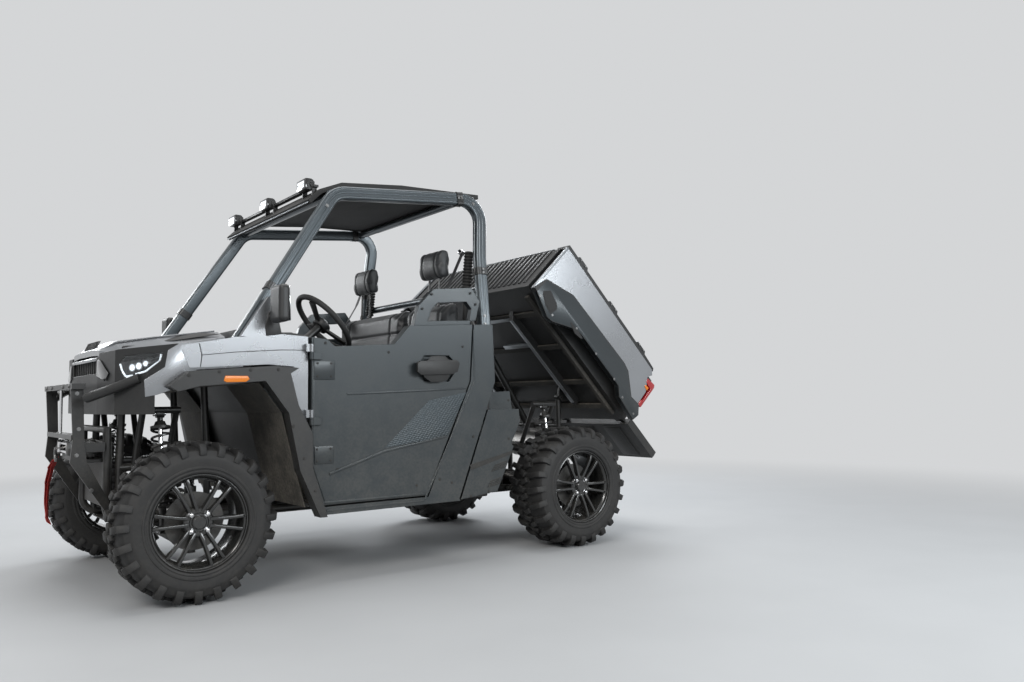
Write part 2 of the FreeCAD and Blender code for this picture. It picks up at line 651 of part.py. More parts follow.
def lamp_shapes():
    """The pocket in the fascia and the lens that fills it, on the slanted corner of the nose."""
    start = V(2318, 500, 0)
    end = V(2140, 738, 0)
    along = (end - start).normalize()
    out = V(along.y, -along.x, 0)
    outline = ((18, 962), (45, 1000), (150, 1008), (232, 1012), (222, 978), (150, 930), (50, 908))
    pair = []
    for grow, low, high in ((0.0, -14.0, 30.0), (-1.0, -13.7, 3.0)):
        centre_s = sum(s for s, z in outline) / len(outline)
        centre_z = sum(z for s, z in outline) / len(outline)
        points = []
        for s, z in outline:
            reach = math.hypot(s - centre_s, z - centre_z)
            share = 1 + grow / reach
            place = start + along * (centre_s + (s - centre_s) * share) + out * low
            points.append(V(place.x, place.y, centre_z + (z - centre_z) * share))
        pair.append(Part.Face(Part.makePolygon(points + points[:1])).extrude(out * (high - low)))
    return pair


def fenders():
    outline = [(2127, 1036), (2050, 1052), (1900, 1080), (DOOR_HINGE_X + GAP, 1092), (DOOR_HINGE_X + GAP, 684), (1640, 792),
               (1680, 928), (1640, 958), (1757, 966), (2090, 947)]
    skin = prism(outline, "y", FENDER_OUTER - 40, FENDER_OUTER)
    top = prism([(1876, 1068), (1876, 1082), (1900, 1080), (2050, 1052), (2127, 1036), (2127, 1020)],
                "y", HOOD_REAR_HALF - 60, FENDER_OUTER - 40)
    fairing = prism([(DOOR_HINGE_X + GAP, 1060), (DOOR_HINGE_X + GAP, 1092), (1728, 1100), (1728, 1250), (1760, 1260), (1880, 1084)],
                    "y", CAB_HALF + 54, FENDER_OUTER)
    fender = fuse([skin, top, fairing]).cut(hood_body(GAP)).cut(side_hoop(GAP))
    fender = fuse([max(fender.Solids, key=lambda s: s.Volume)] + hinge_knuckles(-1))
    save("fenders", *both_sides(fender))
    band = [(2187, 870), (2106, 932), (1757, 958), (1646, 950), (1684, 926), (1648, 790), (1795, 893), (2065, 871), (2150, 850)]
    leg = [(1648, 790), (1795, 893), (1692, 757), (1640, 510), (1545, 301), (1512, 301), (1521, 330), (1582, 521), (1582, 664)]
    flare = fuse([prism(band, "y", FENDER_OUTER + SEAT_GAP, FLARE_OUTER), prism(leg, "y", FENDER_OUTER + SEAT_GAP, FLARE_OUTER)])
    save("flares", *both_sides(flare))
    arch = [(1590, 345), (1650, 560), (1700, 757), (1800, 886), (2070, 868), (2160, 848)]
    save("arch_liners", *both_sides(strip(arch, PANEL, 330, FENDER_OUTER)))


def hinge_knuckles(way):
    """Half of each door hinge: way is 1 for the door's half and -1 for the fender's half above it."""
    pieces = []
    for z in HINGE_HEIGHTS:
        low = z if way > 0 else z + HINGE_HALF + SEAT_GAP
        pieces.append(Part.makeCylinder(9, HINGE_HALF, V(DOOR_HINGE_X, DOOR_HINGE_Y, low), V(0, 0, 1)))
        reach = sorted((DOOR_HINGE_X, DOOR_HINGE_X - 50)) if way > 0 else (DOOR_HINGE_X, DOOR_HINGE_X + 24)
        seat = DOOR_OUTER - 2 if way > 0 else FENDER_OUTER - 2
        pieces.append(box(reach[0], reach[1], seat, DOOR_HINGE_Y, low, low + HINGE_HALF))
    return pieces


def side_panels():
    post = [(690, 1184), (574, 1190), (562, 896), (790, 308), (1500, 303), (1504, 338), (964, SILL_TOP), (712, 896)]
    sill = [(780, 308), (1500, 303), (1504, 338), (964, SILL_TOP), (800, SILL_TOP)]
    panel = fuse([prism(post, "y", DOOR_OUTER - 46, DOOR_OUTER), prism(sill, "y", POST_Y + 15 + SEAT_GAP, DOOR_OUTER)])
    cover = [(546, 842), (418, 848), (403, 753), (396, 688), (455, 574), (439, 560), (546, 337), (770, 312), (552, 880)]
    low = [(403, 753), (396, 688), (455, 574), (439, 560), (546, 337), (770, 312), (600, 753)]
    plate = fuse([prism(cover, "y", 656, 684), prism(low, "y", 684, FENDER_OUTER)])
    post_room = Part.makeCylinder(22 + SEAT_GAP, 900, V(CAGE_REAR_X, POST_Y, 300), V(0, 0, 1))
    rail_room = tube([(CAGE_REAR_X, POST_Y, CROSS_Z), (1000, POST_Y, CROSS_Z)], CROSS_RADIUS + SEAT_GAP)
    plate = plate.cut(post_room).cut(rail_room).cut(panel)
    save("side_panels", *both_sides(panel), *both_sides(max(plate.Solids, key=lambda s: s.Volume)))


def mirrors():
    arm = tube([(1748, FENDER_OUTER + SEAT_GAP, 1190), (1748, 800, 1190)], 10)
    head = soften(box(1724, 1772, 778, 900, 1140, 1300), 20)
    save("mirrors", *both_sides(fuse([arm, head])))


# Bumper and winch

def bumper():
    pieces = [box(2396, BUMPER_X, -BUMPER_HALF, BUMPER_HALF, 868, 892), box(2394, 2440, -300, 300, 655, 676)]
    blade = [(2400, 890), (2449, 890), (2436, 660), (2445, 560), (2300, 340), (2270, 350), (2380, 560), (2392, 660)]
    for way in (-1, 1):
        pieces.append(prism(blade, "y", *sorted((way * 312, way * 300))))
        pieces.append(box(FRAME_FRONT + RAIL_RADIUS + SEAT_GAP, 2400, *sorted((way * 232, way * 300)), 600, 640))
    save("bumper", fuse(pieces))
    winch = [Part.makeCylinder(36, 190, V(2352, -95, 606), V(0, 1, 0))]
    winch += [soften(box(2314, 2390, y, y + 62, 564, 648), 8) for y in (-150, 88)]
    winch.append(box(FRAME_FRONT, 2390, -RAIL_Y + RAIL_RADIUS + SEAT_GAP, RAIL_Y - RAIL_RADIUS - SEAT_GAP, 552, 565))
    fairlead = box(2390, 2402, -125, 125, 560, 640)
    fairlead = fairlead.cut(box(2380, 2420, -95, 95, 597, 623))
    save("winch", fuse(winch + [fairlead]))


# Cab

def cab():
    back = 640.0
    line = [(back, 690), (back, FLOOR_Z), (1560, FLOOR_Z), (1624, 560), (1676, 757), (1776, 900), (1836, 1072)]
    save("cab_tub", strip(line, FLOOR_THICK, -CAB_HALF, CAB_HALF))
    dash = [(1855, 1122), (1560, 1112), (1490, 1070), (1484, 960), (1560, 880), (1680, 870), (1757, 900), (1822, 1080), (1855, 1084)]
    save("dashboard", prism(dash, "y", -640, 640).cut(column(20 + SEAT_GAP)))
    floor = FLOOR_Z + FLOOR_THICK / 2 + SEAT_GAP
    save("seat_base", prism([(720, floor), (690, 610), (1120, 640), (1100, floor)], "y", -600, 600))
    cushions = []
    backs = []
    wall = back + FLOOR_THICK / 2 + SEAT_GAP
    for y0, y1 in ((175, 615), (-615, 155)):
        cushions.append(prism([(700, 611), (1120, 640.3), (1170, 700), (1165, 760), (1100, 775), (775, 738), (700, 738)], "y", y0, y1))
        back_piece = prism([(wall, 640), (699.7, 640), (699.7, 738.3), (775, 738.3), (800, 800), (755, 1310), (715, 1335),
                            (672, 1330), (wall, 900)], "y", y0, y1)
        y = 395 if y0 > 0 else -395
        pieces = [back_piece, soften(box(664, 736, y - 110, y + 110, 1450, 1600), 24)]
        pieces += [Part.makeCylinder(7, 180, V(700, y + w, 1300), V(0, 0, 1)) for w in (-50, 50)]
        backs.append(fuse(pieces))
    save("seat_cushions", *cushions)
    save("seat_backs", *backs)


# Doors

def doors():
    outline = [(1566, 1091), (1490, 1083), (1453, 1052), (1147, 1071), (1065, 1163), (700, 1184), (720, 896),
               (976, 349), (1505, 347), (1564, 521)]
    panel = prism(outline, "y", DOOR_OUTER - DOOR_THICK, DOOR_OUTER)
    recess = prism([(1027, 966), (985, 1021), (842, 1024), (784, 970), (843, 895), (986, 895)], "y", DOOR_OUTER - 22, DOOR_OUTER + 1)
    panel = fuse([panel.cut(recess)] + hinge_knuckles(1))
    guard = prism([(1030, 1165.3), (1002, 1266), (916, 1352), (692, 1374), (642, 1307), (668, 1206), (702, 1204), (702, 1184.2)],
                  "y", DOOR_OUTER - 50, DOOR_OUTER - 18)
    hole = prism([(953, 1192), (931, 1252), (895, 1285), (723, 1301), (692, 1265), (704, 1206)], "y", 600, 800)
    guard = guard.cut(hole)
    handle = box(846, 968, DOOR_OUTER - 12, DOOR_OUTER - 2, 942, 972)
    stems = [box(x, x + 22, DOOR_OUTER - 21.7, DOOR_OUTER - 12, 948, 966) for x in (850, 942)]
    grip = fuse([handle] + stems)
    for name, turn in (("left", lambda s: s), ("right", other_side)):
        save("door_" + name, turn(panel))
        save("door_trim_" + name, turn(guard), turn(grip))


# Cargo bed

def bed_xz(rows):
    """Turn (back, down) places on the closed bed into (x, z) places."""
    return [(BED_FRONT - u, BED_TOP - d) for u, d in rows]


def tipped(shape):
    """Tip a piece of the closed bed to the angle at which it is parked."""
    copy = shape.copy()
    copy.rotate(V(BED_PIVOT_X, 0, BED_PIVOT_Z), V(0, 1, 0), -BED_TILT)
    return copy


def barrel_rows(half):
    """Hinge barrels along the tailgate: half 0 belongs to the bed and half 1 to the gate."""
    return [(way * (y + half * 30.3), way * (y + half * 30.3 + 30)) for y in (40, 540) for way in (-1, 1)]


def cargo_bed():
    wall = BED_INNER + BED_WALL
    tub = prism(bed_xz([(0, 0), (BED_LENGTH, 0), (BED_LENGTH, BED_DEPTH + BED_FLOOR), (0, BED_DEPTH + BED_FLOOR)]),
                "y", -wall, wall)
    hollow = prism(bed_xz([(BED_WALL, -1), (BED_LENGTH + 1, -1), (BED_LENGTH + 1, BED_DEPTH), (BED_WALL, BED_DEPTH)]),
                   "y", -BED_INNER, BED_INNER)
    pieces = [tub.cut(hollow)]
    pivot_u = BED_FRONT - BED_PIVOT_X
    pivot_d = BED_TOP - BED_PIVOT_Z
    inner = RAIL_Y + 18 + SEAT_GAP
    for way in (-1, 1):
        pieces.append(prism(bed_xz([(150, 329), (880, 329), (880, 365), (190, 365)]), "y", *sorted((way * 335, way * 370))))
        ear = prism(bed_xz([(pivot_u - 60, 329), (pivot_u + 60, 329), (pivot_u + 22, pivot_d + 18), (pivot_u - 22, pivot_d + 18)]),
                    "y", *sorted((way * inner, way * (inner + 20))))
        pieces.append(ear.cut(ring_y(PIVOT_PIN + 0.5, 0, -400, 400, BED_PIVOT_X, BED_PIVOT_Z)))
        fork = prism(bed_xz([(LIFT_U - 40, 329), (LIFT_U + 40, 329), (LIFT_U + 16, LIFT_D + 16), (LIFT_U - 16, LIFT_D + 16)]),
                     "y", *sorted((way * 22, way * 28)))
        pieces.append(fork)
    for y0, y1 in barrel_rows(0):
        low, high = sorted((y0, y1))
        pieces.append(ring_y(8, 0, low, high, BED_FRONT - GATE_HINGE_U, BED_TOP - GATE_HINGE_D))
        pieces.append(prism(bed_xz([(BED_LENGTH - 1, 308), (GATE_HINGE_U, 308), (GATE_HINGE_U, 314), (BED_LENGTH - 1, 326)]), "y", low, high))
    save("bed_tub", tipped(fuse(pieces)))
    skin = [(2, 3), (944, 3), (971, 25), (950, 64), (1002, 136), (1004, 240), (930, 252), (805, 161), (752, 151),
            (217, 170), (27, 256), (2, 352)]
    trim = [(24, 357), (174, 403), (217, 392), (362, 292), (427, 284), (741, 281), (812, 283), (860, 323), (1033, 339),
            (1045, 289), (1004, 240.4), (930, 252.4), (805, 161.4), (752, 151.4), (217, 170.4), (27, 256.4), (2.4, 352)]
    lamp = [(950.4, 64), (1024, 51), (1036, 66), (1036, 236), (1004.4, 240), (1002.4, 136)]
    save("bed_sides", *both_sides(tipped(prism(bed_xz(skin), "y", 690, BED_SKIN))))
    rail = prism(bed_xz([(2, 2.7), (2, -20), (90, -20), (100, -34), (180, -34), (190, -20), (420, -20), (430, -34), (510, -34),
                         (520, -20), (740, -20), (750, -34), (830, -34), (840, -20), (950, -14), (960, 2.7)]), "y", 612, BED_SKIN - 2)
    rail = rail.cut(prism(bed_xz([(-5, -0.3), (1100, -0.3), (1100, 10), (-5, 10)]), "y", 500, wall + 0.3))
    trims = tipped(prism(bed_xz(trim), "y", 690, BED_SKIN + 12))
    save("bed_trims", *both_sides(trims), *both_sides(tipped(rail)))
    save("tail_lamps", *both_sides(tipped(prism(bed_xz(lamp), "y", wall + SEAT_GAP, BED_SKIN))))
    start = GATE_HINGE_U + 13
    half_thick = GATE_THICK / 2
    gate = [prism(bed_xz([(start, GATE_HINGE_D - half_thick), (start + GATE_HEIGHT, GATE_HINGE_D - half_thick),
                          (start + GATE_HEIGHT, GATE_HINGE_D + half_thick), (start, GATE_HINGE_D + half_thick)]),
                  "y", -GATE_HALF, GATE_HALF)]
    for y0, y1 in barrel_rows(1):
        low, high = sorted((y0, y1))
        gate.append(ring_y(8, 0, low, high, BED_FRONT - GATE_HINGE_U, BED_TOP - GATE_HINGE_D))
        gate.append(prism(bed_xz([(GATE_HINGE_U, 302), (start + 1, 302), (start + 1, 310), (GATE_HINGE_U, 310)]), "y", low, high))
    save("tailgate", tipped(fuse(gate)))


def lift():
    """The lift cylinder under the middle of the bed, in line at the angle where the bed is parked."""
    foot = V(LIFT_X, 0, LIFT_Z)
    eye = tipped(Part.Vertex(V(BED_FRONT - LIFT_U, 0, BED_TOP - LIFT_D))).Point
    way = (eye - foot).normalize()
    barrel = fuse([Part.makeCylinder(21, LIFT_BARREL - 32, foot + way * 32, way), Part.makeCylinder(12, 40, foot, way),
                   ring_y(18, 0, -14, 14, LIFT_X, LIFT_Z)])
    barrel = barrel.cut(Part.makeCylinder(13, LIFT_BARREL, foot + way * 44, way)).cut(ring_y(8.5, 0, -30, 30, LIFT_X, LIFT_Z))
    rod = fuse([Part.makeCylinder(12, LIFT_ROD, eye - way * LIFT_ROD, way), ring_y(15, 0, -14, 14, eye.x, eye.z)])
    save("lift_barrel", barrel)
    save("lift_rod", rod)


def save_all():
    wheels()
    running_gear()
    drive_train()
    steering()
    frame()
    roll_cage()
    roof()
    hood()
    nose()
    fenders()
    side_panels()
    bumper()
    cab()
    mirrors()
    doors()
    cargo_bed()
    lift()


save_all()
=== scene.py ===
# %% [markdown]
# # A side by side utility vehicle, dressed in Blender
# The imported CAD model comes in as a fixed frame. Each cell after this one adds a finish or a piece
# to it, from the studio outwards: floor and lamps, camera, finishes, wheels, body, cab and bed.
# Everything is in metres, with X to the front, Y to the left and Z up.

# %% Load the frame
import json
import math

import bmesh
import bpy
from mathutils import Matrix, Vector


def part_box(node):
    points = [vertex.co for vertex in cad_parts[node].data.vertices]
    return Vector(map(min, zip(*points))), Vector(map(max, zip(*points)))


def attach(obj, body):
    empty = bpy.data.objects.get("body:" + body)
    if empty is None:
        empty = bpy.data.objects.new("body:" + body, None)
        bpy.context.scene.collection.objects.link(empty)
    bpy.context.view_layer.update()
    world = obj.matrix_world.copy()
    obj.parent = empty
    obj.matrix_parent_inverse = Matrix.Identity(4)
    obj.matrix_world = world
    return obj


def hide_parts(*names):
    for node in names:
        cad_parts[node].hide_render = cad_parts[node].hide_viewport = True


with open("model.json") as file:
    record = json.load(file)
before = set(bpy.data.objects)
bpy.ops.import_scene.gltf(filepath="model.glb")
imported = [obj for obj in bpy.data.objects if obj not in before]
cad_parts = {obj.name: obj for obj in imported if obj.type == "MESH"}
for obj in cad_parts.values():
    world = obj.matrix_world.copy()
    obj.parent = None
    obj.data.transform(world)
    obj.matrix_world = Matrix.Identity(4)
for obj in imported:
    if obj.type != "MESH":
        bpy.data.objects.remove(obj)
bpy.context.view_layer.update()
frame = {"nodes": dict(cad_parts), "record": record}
nodes = frame["nodes"]

# %% [markdown]
# Stations along the vehicle are easiest to read when they count from the rear axle, as a maker's
# drawing does, in millimetres. `spot` turns such a place into the frame's own metres. The cargo bed
# is parked tipped up, so `bed_spot` takes places on the closed bed, back from its front and down
# from its top, and tips them about the bed's pivot.

# %% Places counted from the rear axle, and places on the bed
MM = 0.001
low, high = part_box("rear_tyre_left")
REAR_AXLE_X = (low[0] + high[0]) / 2
AXLE_Z = (low[2] + high[2]) / 2
low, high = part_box("front_tyre_left")
FRONT_AXLE_X = (low[0] + high[0]) / 2
BED_FRONT, BED_TOP, BED_TILT = 528.0, 1180.0, math.radians(46.0)
BED_PIVOT = (-286.7, 815.9)


def spot(x, y, z):
    return Vector((REAR_AXLE_X + x * MM, y * MM, z * MM))


def bed_spot(back, y, down):
    ahead = BED_FRONT - back - BED_PIVOT[0]
    above = BED_TOP - down - BED_PIVOT[1]
    x = BED_PIVOT[0] + ahead * math.cos(BED_TILT) - above * math.sin(BED_TILT)
    z = BED_PIVOT[1] + ahead * math.sin(BED_TILT) + above * math.cos(BED_TILT)
    return spot(x, y, z)


FRONT_AXLE_MM = (FRONT_AXLE_X - REAR_AXLE_X) / MM
print("wheelbase", round(FRONT_AXLE_MM), "mm")

# %% [markdown]
# ## Studio
# A product picture needs a floor that runs into the backdrop with no line, so the eye stays on the
# machine. A curved paper sweep does that in a real studio, but it stands in the way of a camera that
# walks round. Here a round floor fades, far from the machine, into the sky's own pale grey, which
# works from every side and keeps the shadow.

# %% Floor and sky
BACKDROP = (0.66, 0.67, 0.68, 1.0)
FLOOR_RADIUS = 60.0
FADE_START, FADE_END = 2.6, 7.5
scene = bpy.context.scene
scene.view_settings.view_transform = "Standard"


def seen_rays(tree):
    """One for rays that show the backdrop: camera, glossy and transmission rays."""
    rays = tree.nodes.new("ShaderNodeLightPath")
    total = rays.outputs["Is Camera Ray"]
    for label in ("Is Glossy Ray", "Is Transmission Ray"):
        either = tree.nodes.new("ShaderNodeMath")
        either.operation = "MAXIMUM"
        tree.links.new(total, either.inputs[0])
        tree.links.new(rays.outputs[label], either.inputs[1])
        total = either.outputs[0]
    return total


def floor_finish():
    finish = bpy.data.materials.new("studio_floor")
    finish.use_nodes = True
    tree = finish.node_tree
    shader = tree.nodes["Principled BSDF"]
    shader.inputs["Roughness"].default_value = 0.7
    place = tree.nodes.new("ShaderNodeTexCoord")
    grain = tree.nodes.new("ShaderNodeTexNoise")
    grain.inputs["Scale"].default_value = 2.5
    ramp = tree.nodes.new("ShaderNodeValToRGB")
    ramp.color_ramp.elements[0].color = (0.44, 0.445, 0.45, 1)
    ramp.color_ramp.elements[1].color = (0.48, 0.485, 0.49, 1)
    tree.links.new(place.outputs["Object"], grain.inputs["Vector"])
    tree.links.new(grain.outputs["Fac"], ramp.inputs["Fac"])
    tree.links.new(ramp.outputs["Color"], shader.inputs["Base Color"])
    far = tree.nodes.new("ShaderNodeVectorMath")
    far.operation = "LENGTH"
    fade = tree.nodes.new("ShaderNodeMapRange")
    fade.interpolation_type = "SMOOTHSTEP"
    fade.inputs["From Min"].default_value = FADE_START
    fade.inputs["From Max"].default_value = FADE_END
    tree.links.new(place.outputs["Object"], far.inputs[0])
    tree.links.new(far.outputs["Value"], fade.inputs["Value"])
    shown = tree.nodes.new("ShaderNodeMath")
    shown.operation = "MULTIPLY"
    tree.links.new(fade.outputs[0], shown.inputs[0])
    tree.links.new(seen_rays(tree), shown.inputs[1])
    glow = tree.nodes.new("ShaderNodeEmission")
    glow.inputs["Color"].default_value = BACKDROP
    blend = tree.nodes.new("ShaderNodeMixShader")
    tree.links.new(shown.outputs[0], blend.inputs["Fac"])
    tree.links.new(shader.outputs[0], blend.inputs[1])
    tree.links.new(glow.outputs[0], blend.inputs[2])
    tree.links.new(blend.outputs[0], tree.nodes["Material Output"].inputs["Surface"])
    return finish


bpy.ops.mesh.primitive_circle_add(vertices=64, radius=FLOOR_RADIUS, fill_type="NGON", location=(0, 0, 0))
floor = bpy.context.object
floor.name = "studio_floor"
floor.data.materials.append(floor_finish())

world = bpy.data.worlds.new("studio_sky")
scene.world = world
world.use_nodes = True
sky = world.node_tree
sky_light = sky.nodes["Background"]
sky_light.inputs["Color"].default_value = (0.80, 0.86, 0.92, 1)
sky_light.inputs["Strength"].default_value = 0.34
sky_seen = sky.nodes.new("ShaderNodeBackground")
sky_seen.inputs["Color"].default_value = BACKDROP
sky_mix = sky.nodes.new("ShaderNodeMixShader")
sky.links.new(seen_rays(sky), sky_mix.inputs["Fac"])
sky.links.new(sky_light.outputs["Background"], sky_mix.inputs[1])
sky.links.new(sky_seen.outputs["Background"], sky_mix.inputs[2])
sky.links.new(sky_mix.outputs["Shader"], sky.nodes["World Output"].inputs["Surface"])

# %% [markdown]
# The light comes from a high opening ahead of the machine's left side and leaves long soft streaks
# on its edges. Large area lamps give the same streaks: one key, one long strip along the side, one
# from behind that rims the cage and the tyres, and a soft one overhead.

# %% Lamps
LAMPS = (
    # (name, place, aim, width, height, power, colour)
    ("key", (4.6, 4.6, 4.2), (0.4, 0.2, 0.7), 3.0, 1.6, 205.0, (1.0, 0.98, 0.95)),
    ("side_strip", (-1.6, 5.4, 2.3), (-0.5, 0.0, 0.8), 5.0, 0.8, 150.0, (0.92, 0.97, 1.0)),
    ("back", (-4.2, -3.8, 3.8), (0.0, 0.0, 0.8), 3.2, 2.0, 200.0, (0.92, 0.96, 1.0)),
    ("right_strip", (1.5, -5.2, 2.6), (0.2, 0.0, 0.8), 4.5, 0.8, 90.0, (0.95, 0.98, 1.0)),
    ("overhead", (0.3, 0.0, 5.6), (0.3, 0.0, 0.0), 4.5, 3.0, 150.0, (1.0, 1.0, 1.0)),
)


def area_lamp(name, place, aim, width, height, power, colour):
    light = bpy.data.lights.new(name, "AREA")
    light.shape = "RECTANGLE"
    light.size = width
    light.size_y = height
    light.energy = power
    light.color = colour
    lamp = bpy.data.objects.new(name, light)
    scene.collection.objects.link(lamp)
    way = Vector(aim) - Vector(place)
    lamp.matrix_world = Matrix.Translation(place) @ way.to_track_quat("-Z", "Y").to_matrix().to_4x4()


for row in LAMPS:
    area_lamp(*row)
print("lamps", len(LAMPS))

# %% [markdown]
# ## Camera
# The camera stands where the photographer stood: ahead of the left front wheel, a little lower than
# the hood, looking slightly up. Its three angles and its lens were fitted to the wheels and the cab.

# %% Camera
CAMERA_SPOT = spot(3128.5, 4272.9, 801.7)
CAMERA_YAW = math.radians(-127.270)
CAMERA_PITCH = math.radians(3.969)
CAMERA_ROLL = math.radians(-0.690)
SENSOR_MM = 36.0
FOCAL_PIXELS = 846.94
PICTURE_WIDTH = 1024


def photo_camera():
    flat = math.cos(CAMERA_PITCH)
    ahead = Vector((flat * math.cos(CAMERA_YAW), flat * math.sin(CAMERA_YAW), math.sin(CAMERA_PITCH)))
    level = Vector((math.sin(CAMERA_YAW), -math.cos(CAMERA_YAW), 0.0))
    up = level.cross(ahead)
    right = level * math.cos(CAMERA_ROLL) + up * math.sin(CAMERA_ROLL)
    top = up * math.cos(CAMERA_ROLL) - level * math.sin(CAMERA_ROLL)
    data = bpy.data.cameras.new("photo_camera")
    data.sensor_width = SENSOR_MM
    data.lens = FOCAL_PIXELS * SENSOR_MM / PICTURE_WIDTH
    camera = bpy.data.objects.new("photo_camera", data)
    scene.collection.objects.link(camera)
    turn = Matrix((right, top, -ahead)).transposed().to_4x4()
    camera.matrix_world = Matrix.Translation(CAMERA_SPOT) @ turn
    return camera


scene.camera = photo_camera()
print("lens", round(scene.camera.data.lens, 2), "mm")

# %% [markdown]
# ## Finishes
# Four things happen to every surface of a machine that works outdoors: its grain breaks up the
# light, its paint is not quite even, dust settles on what faces up and low down, and edges rub
# bright. That lighter edge colour is partly rubbed paint and partly a painted highlight. Each is
# part of a node group, built once here and given its own numbers in every finish.

# %% Node helpers
FLOAT = "NodeSocketFloat"
COLOR = "NodeSocketColor"
VECTOR = "NodeSocketVector"
NODE_SETTINGS = ("operation", "blend_type", "data_type", "feature", "wave_type", "bands_direction",
                 "samples")


def new_group(name, inputs, outputs):
    """A shader node group with named sockets, and its two end nodes."""
    group = bpy.data.node_groups.new(name, "ShaderNodeTree")
    for label, kind, value in inputs:
        socket = group.interface.new_socket(name=label, in_out="INPUT", socket_type=kind)
        if value is not None:
            socket.default_value = value
    for label, kind in outputs:
        group.interface.new_socket(name=label, in_out="OUTPUT", socket_type=kind)
    return group, group.nodes.new("NodeGroupInput"), group.nodes.new("NodeGroupOutput")


def add_node(tree, kind, **values):
    """A node with some of its sockets or settings set by name."""
    node = tree.nodes.new(kind)
    for key, value in values.items():
        if key in NODE_SETTINGS:
            setattr(node, key, value)
        else:
            node.inputs[key.replace("_", " ")].default_value = value
    return node


def math_node(tree, operation, first, second, third=None, clamp=False):
    """A Math node whose inputs are links or plain numbers. Returns its output."""
    node = tree.nodes.new("ShaderNodeMath")
    node.operation = operation
    node.use_clamp = clamp
    for i, value in enumerate((first, second, third)):
        if value is None:
            continue
        if isinstance(value, (int, float)):
            node.inputs[i].default_value = value
        else:
            tree.links.new(value, node.inputs[i])
    return node.outputs[0]


def ramp_node(tree, value, start, end, low=0.0, high=1.0):
    """A Map Range node from start..end to low..high. Returns its output."""
    node = tree.nodes.new("ShaderNodeMapRange")
    for label, number in (("From Min", start), ("From Max", end), ("To Min", low), ("To Max", high)):
        node.inputs[label].default_value = number
    tree.links.new(value, node.inputs["Value"])
    return node.outputs[0]


def mix_colour(tree, share, first, second):
    node = add_node(tree, "ShaderNodeMix", data_type="RGBA")
    tree.links.new(share, node.inputs["Factor"])
    tree.links.new(first, node.inputs["A"])
    tree.links.new(second, node.inputs["B"])
    return node.outputs["Result"]


# %% [markdown]
# Real corners are never quite sharp, and the thin bright line that runs along them tells the eye
# what a thing is made of. A Bevel node rounds the shading of every corner without touching the mesh,
# and where its normal leaves the true one there is an edge, so it also says where the colour is
# painted lighter: partly rubbed paint, partly a painted highlight along the edge.

# %% Surface group: rounded corners, mottling, rubbed edges with painted highlight, and dust


def surface_group():
    group, entry, leave = new_group(
        "worked_and_highlit_surface",
        (("Colour", COLOR, (0.5, 0.5, 0.5, 1)), ("Roughness", FLOAT, 0.4), ("Rounding", FLOAT, 0.003),
         ("Mottle", FLOAT, 0.05), ("Wear And Highlight", FLOAT, 0.1), ("Wear And Highlight Colour", COLOR, (0.5, 0.5, 0.5, 1)),
         ("Dust", FLOAT, 0.2), ("Dust Colour", COLOR, (0.20, 0.18, 0.15, 1))),
        (("Colour", COLOR), ("Roughness", FLOAT), ("Normal", VECTOR)))
    link = group.links.new
    place = group.nodes.new("ShaderNodeTexCoord").outputs["Object"]
    shape = group.nodes.new("ShaderNodeNewGeometry")
    soft = add_node(group, "ShaderNodeBevel", samples=3)
    link(entry.outputs["Rounding"], soft.inputs["Radius"])
    link(soft.outputs["Normal"], leave.inputs["Normal"])
    patches = add_node(group, "ShaderNodeTexNoise", Scale=4.0, Detail=5.0)
    specks = add_node(group, "ShaderNodeTexNoise", Scale=90.0, Detail=3.0)
    streaks = add_node(group, "ShaderNodeTexNoise", Scale=14.0, Detail=4.0)
    for node in (patches, specks, streaks):
        link(place, node.inputs["Vector"])
    # Mottling: the colour is lighter or darker by a share of itself.
    shade = math_node(group, "SUBTRACT", patches.outputs["Fac"], 0.5)
    amount = math_node(group, "MULTIPLY_ADD", shade, entry.outputs["Mottle"], 1.0)
    toned = add_node(group, "ShaderNodeVectorMath", operation="SCALE")
    link(entry.outputs["Colour"], toned.inputs[0])
    link(amount, toned.inputs["Scale"])
    # Rubbed edges: where the rounded normal leaves the true one, in broken patches.
    agree = add_node(group, "ShaderNodeVectorMath", operation="DOT_PRODUCT")
    link(soft.outputs["Normal"], agree.inputs[0])
    link(shape.outputs["Normal"], agree.inputs[1])
    edge = ramp_node(group, agree.outputs["Value"], 0.995, 0.90)
    # Rubbed edges and painted highlight: lighter where the rounded normal leaves the true one, in broken
    # patches.
    broken = ramp_node(group, streaks.outputs["Fac"], 0.35, 0.6)
    edge_rub_and_highlight = math_node(group, "MULTIPLY", math_node(group, "MULTIPLY", edge, broken), entry.outputs["Wear And Highlight"])
    rubbed_and_highlit = mix_colour(group, edge_rub_and_highlight, toned.outputs[0], entry.outputs["Wear And Highlight Colour"])
    # Dust: more low down and on what faces up, in speckled patches.
    split = group.nodes.new("ShaderNodeSeparateXYZ")
    link(place, split.inputs[0])
    low_down = ramp_node(group, split.outputs["Z"], 1.1, 0.1)
    facing = group.nodes.new("ShaderNodeSeparateXYZ")
    link(shape.outputs["Normal"], facing.inputs[0])
    upward = ramp_node(group, facing.outputs["Z"], 0.2, 1.0, 0.0, 0.6)
    speckled = math_node(group, "MULTIPLY", specks.outputs["Fac"], streaks.outputs["Fac"])
    spread = ramp_node(group, speckled, 0.14, 0.36, 0.25, 1.0)
    settled = math_node(group, "MULTIPLY", math_node(group, "ADD", low_down, upward), spread)
    dusty = math_node(group, "MULTIPLY", settled, entry.outputs["Dust"], clamp=True)
    covered = mix_colour(group, dusty, rubbed_and_highlit, entry.outputs["Dust Colour"])
    link(covered, leave.inputs["Colour"])
    # Dust is matt, and mottling varies the gloss a little.
    matt = math_node(group, "MULTIPLY_ADD", dusty, 0.4, entry.outputs["Roughness"])
    link(math_node(group, "MULTIPLY_ADD", shade, 0.14, matt), leave.inputs["Roughness"])
    return group


WORKED_AND_HIGHLIT = surface_group()

# %% Grain group: moulded plastic, cast metal, leather and rubber


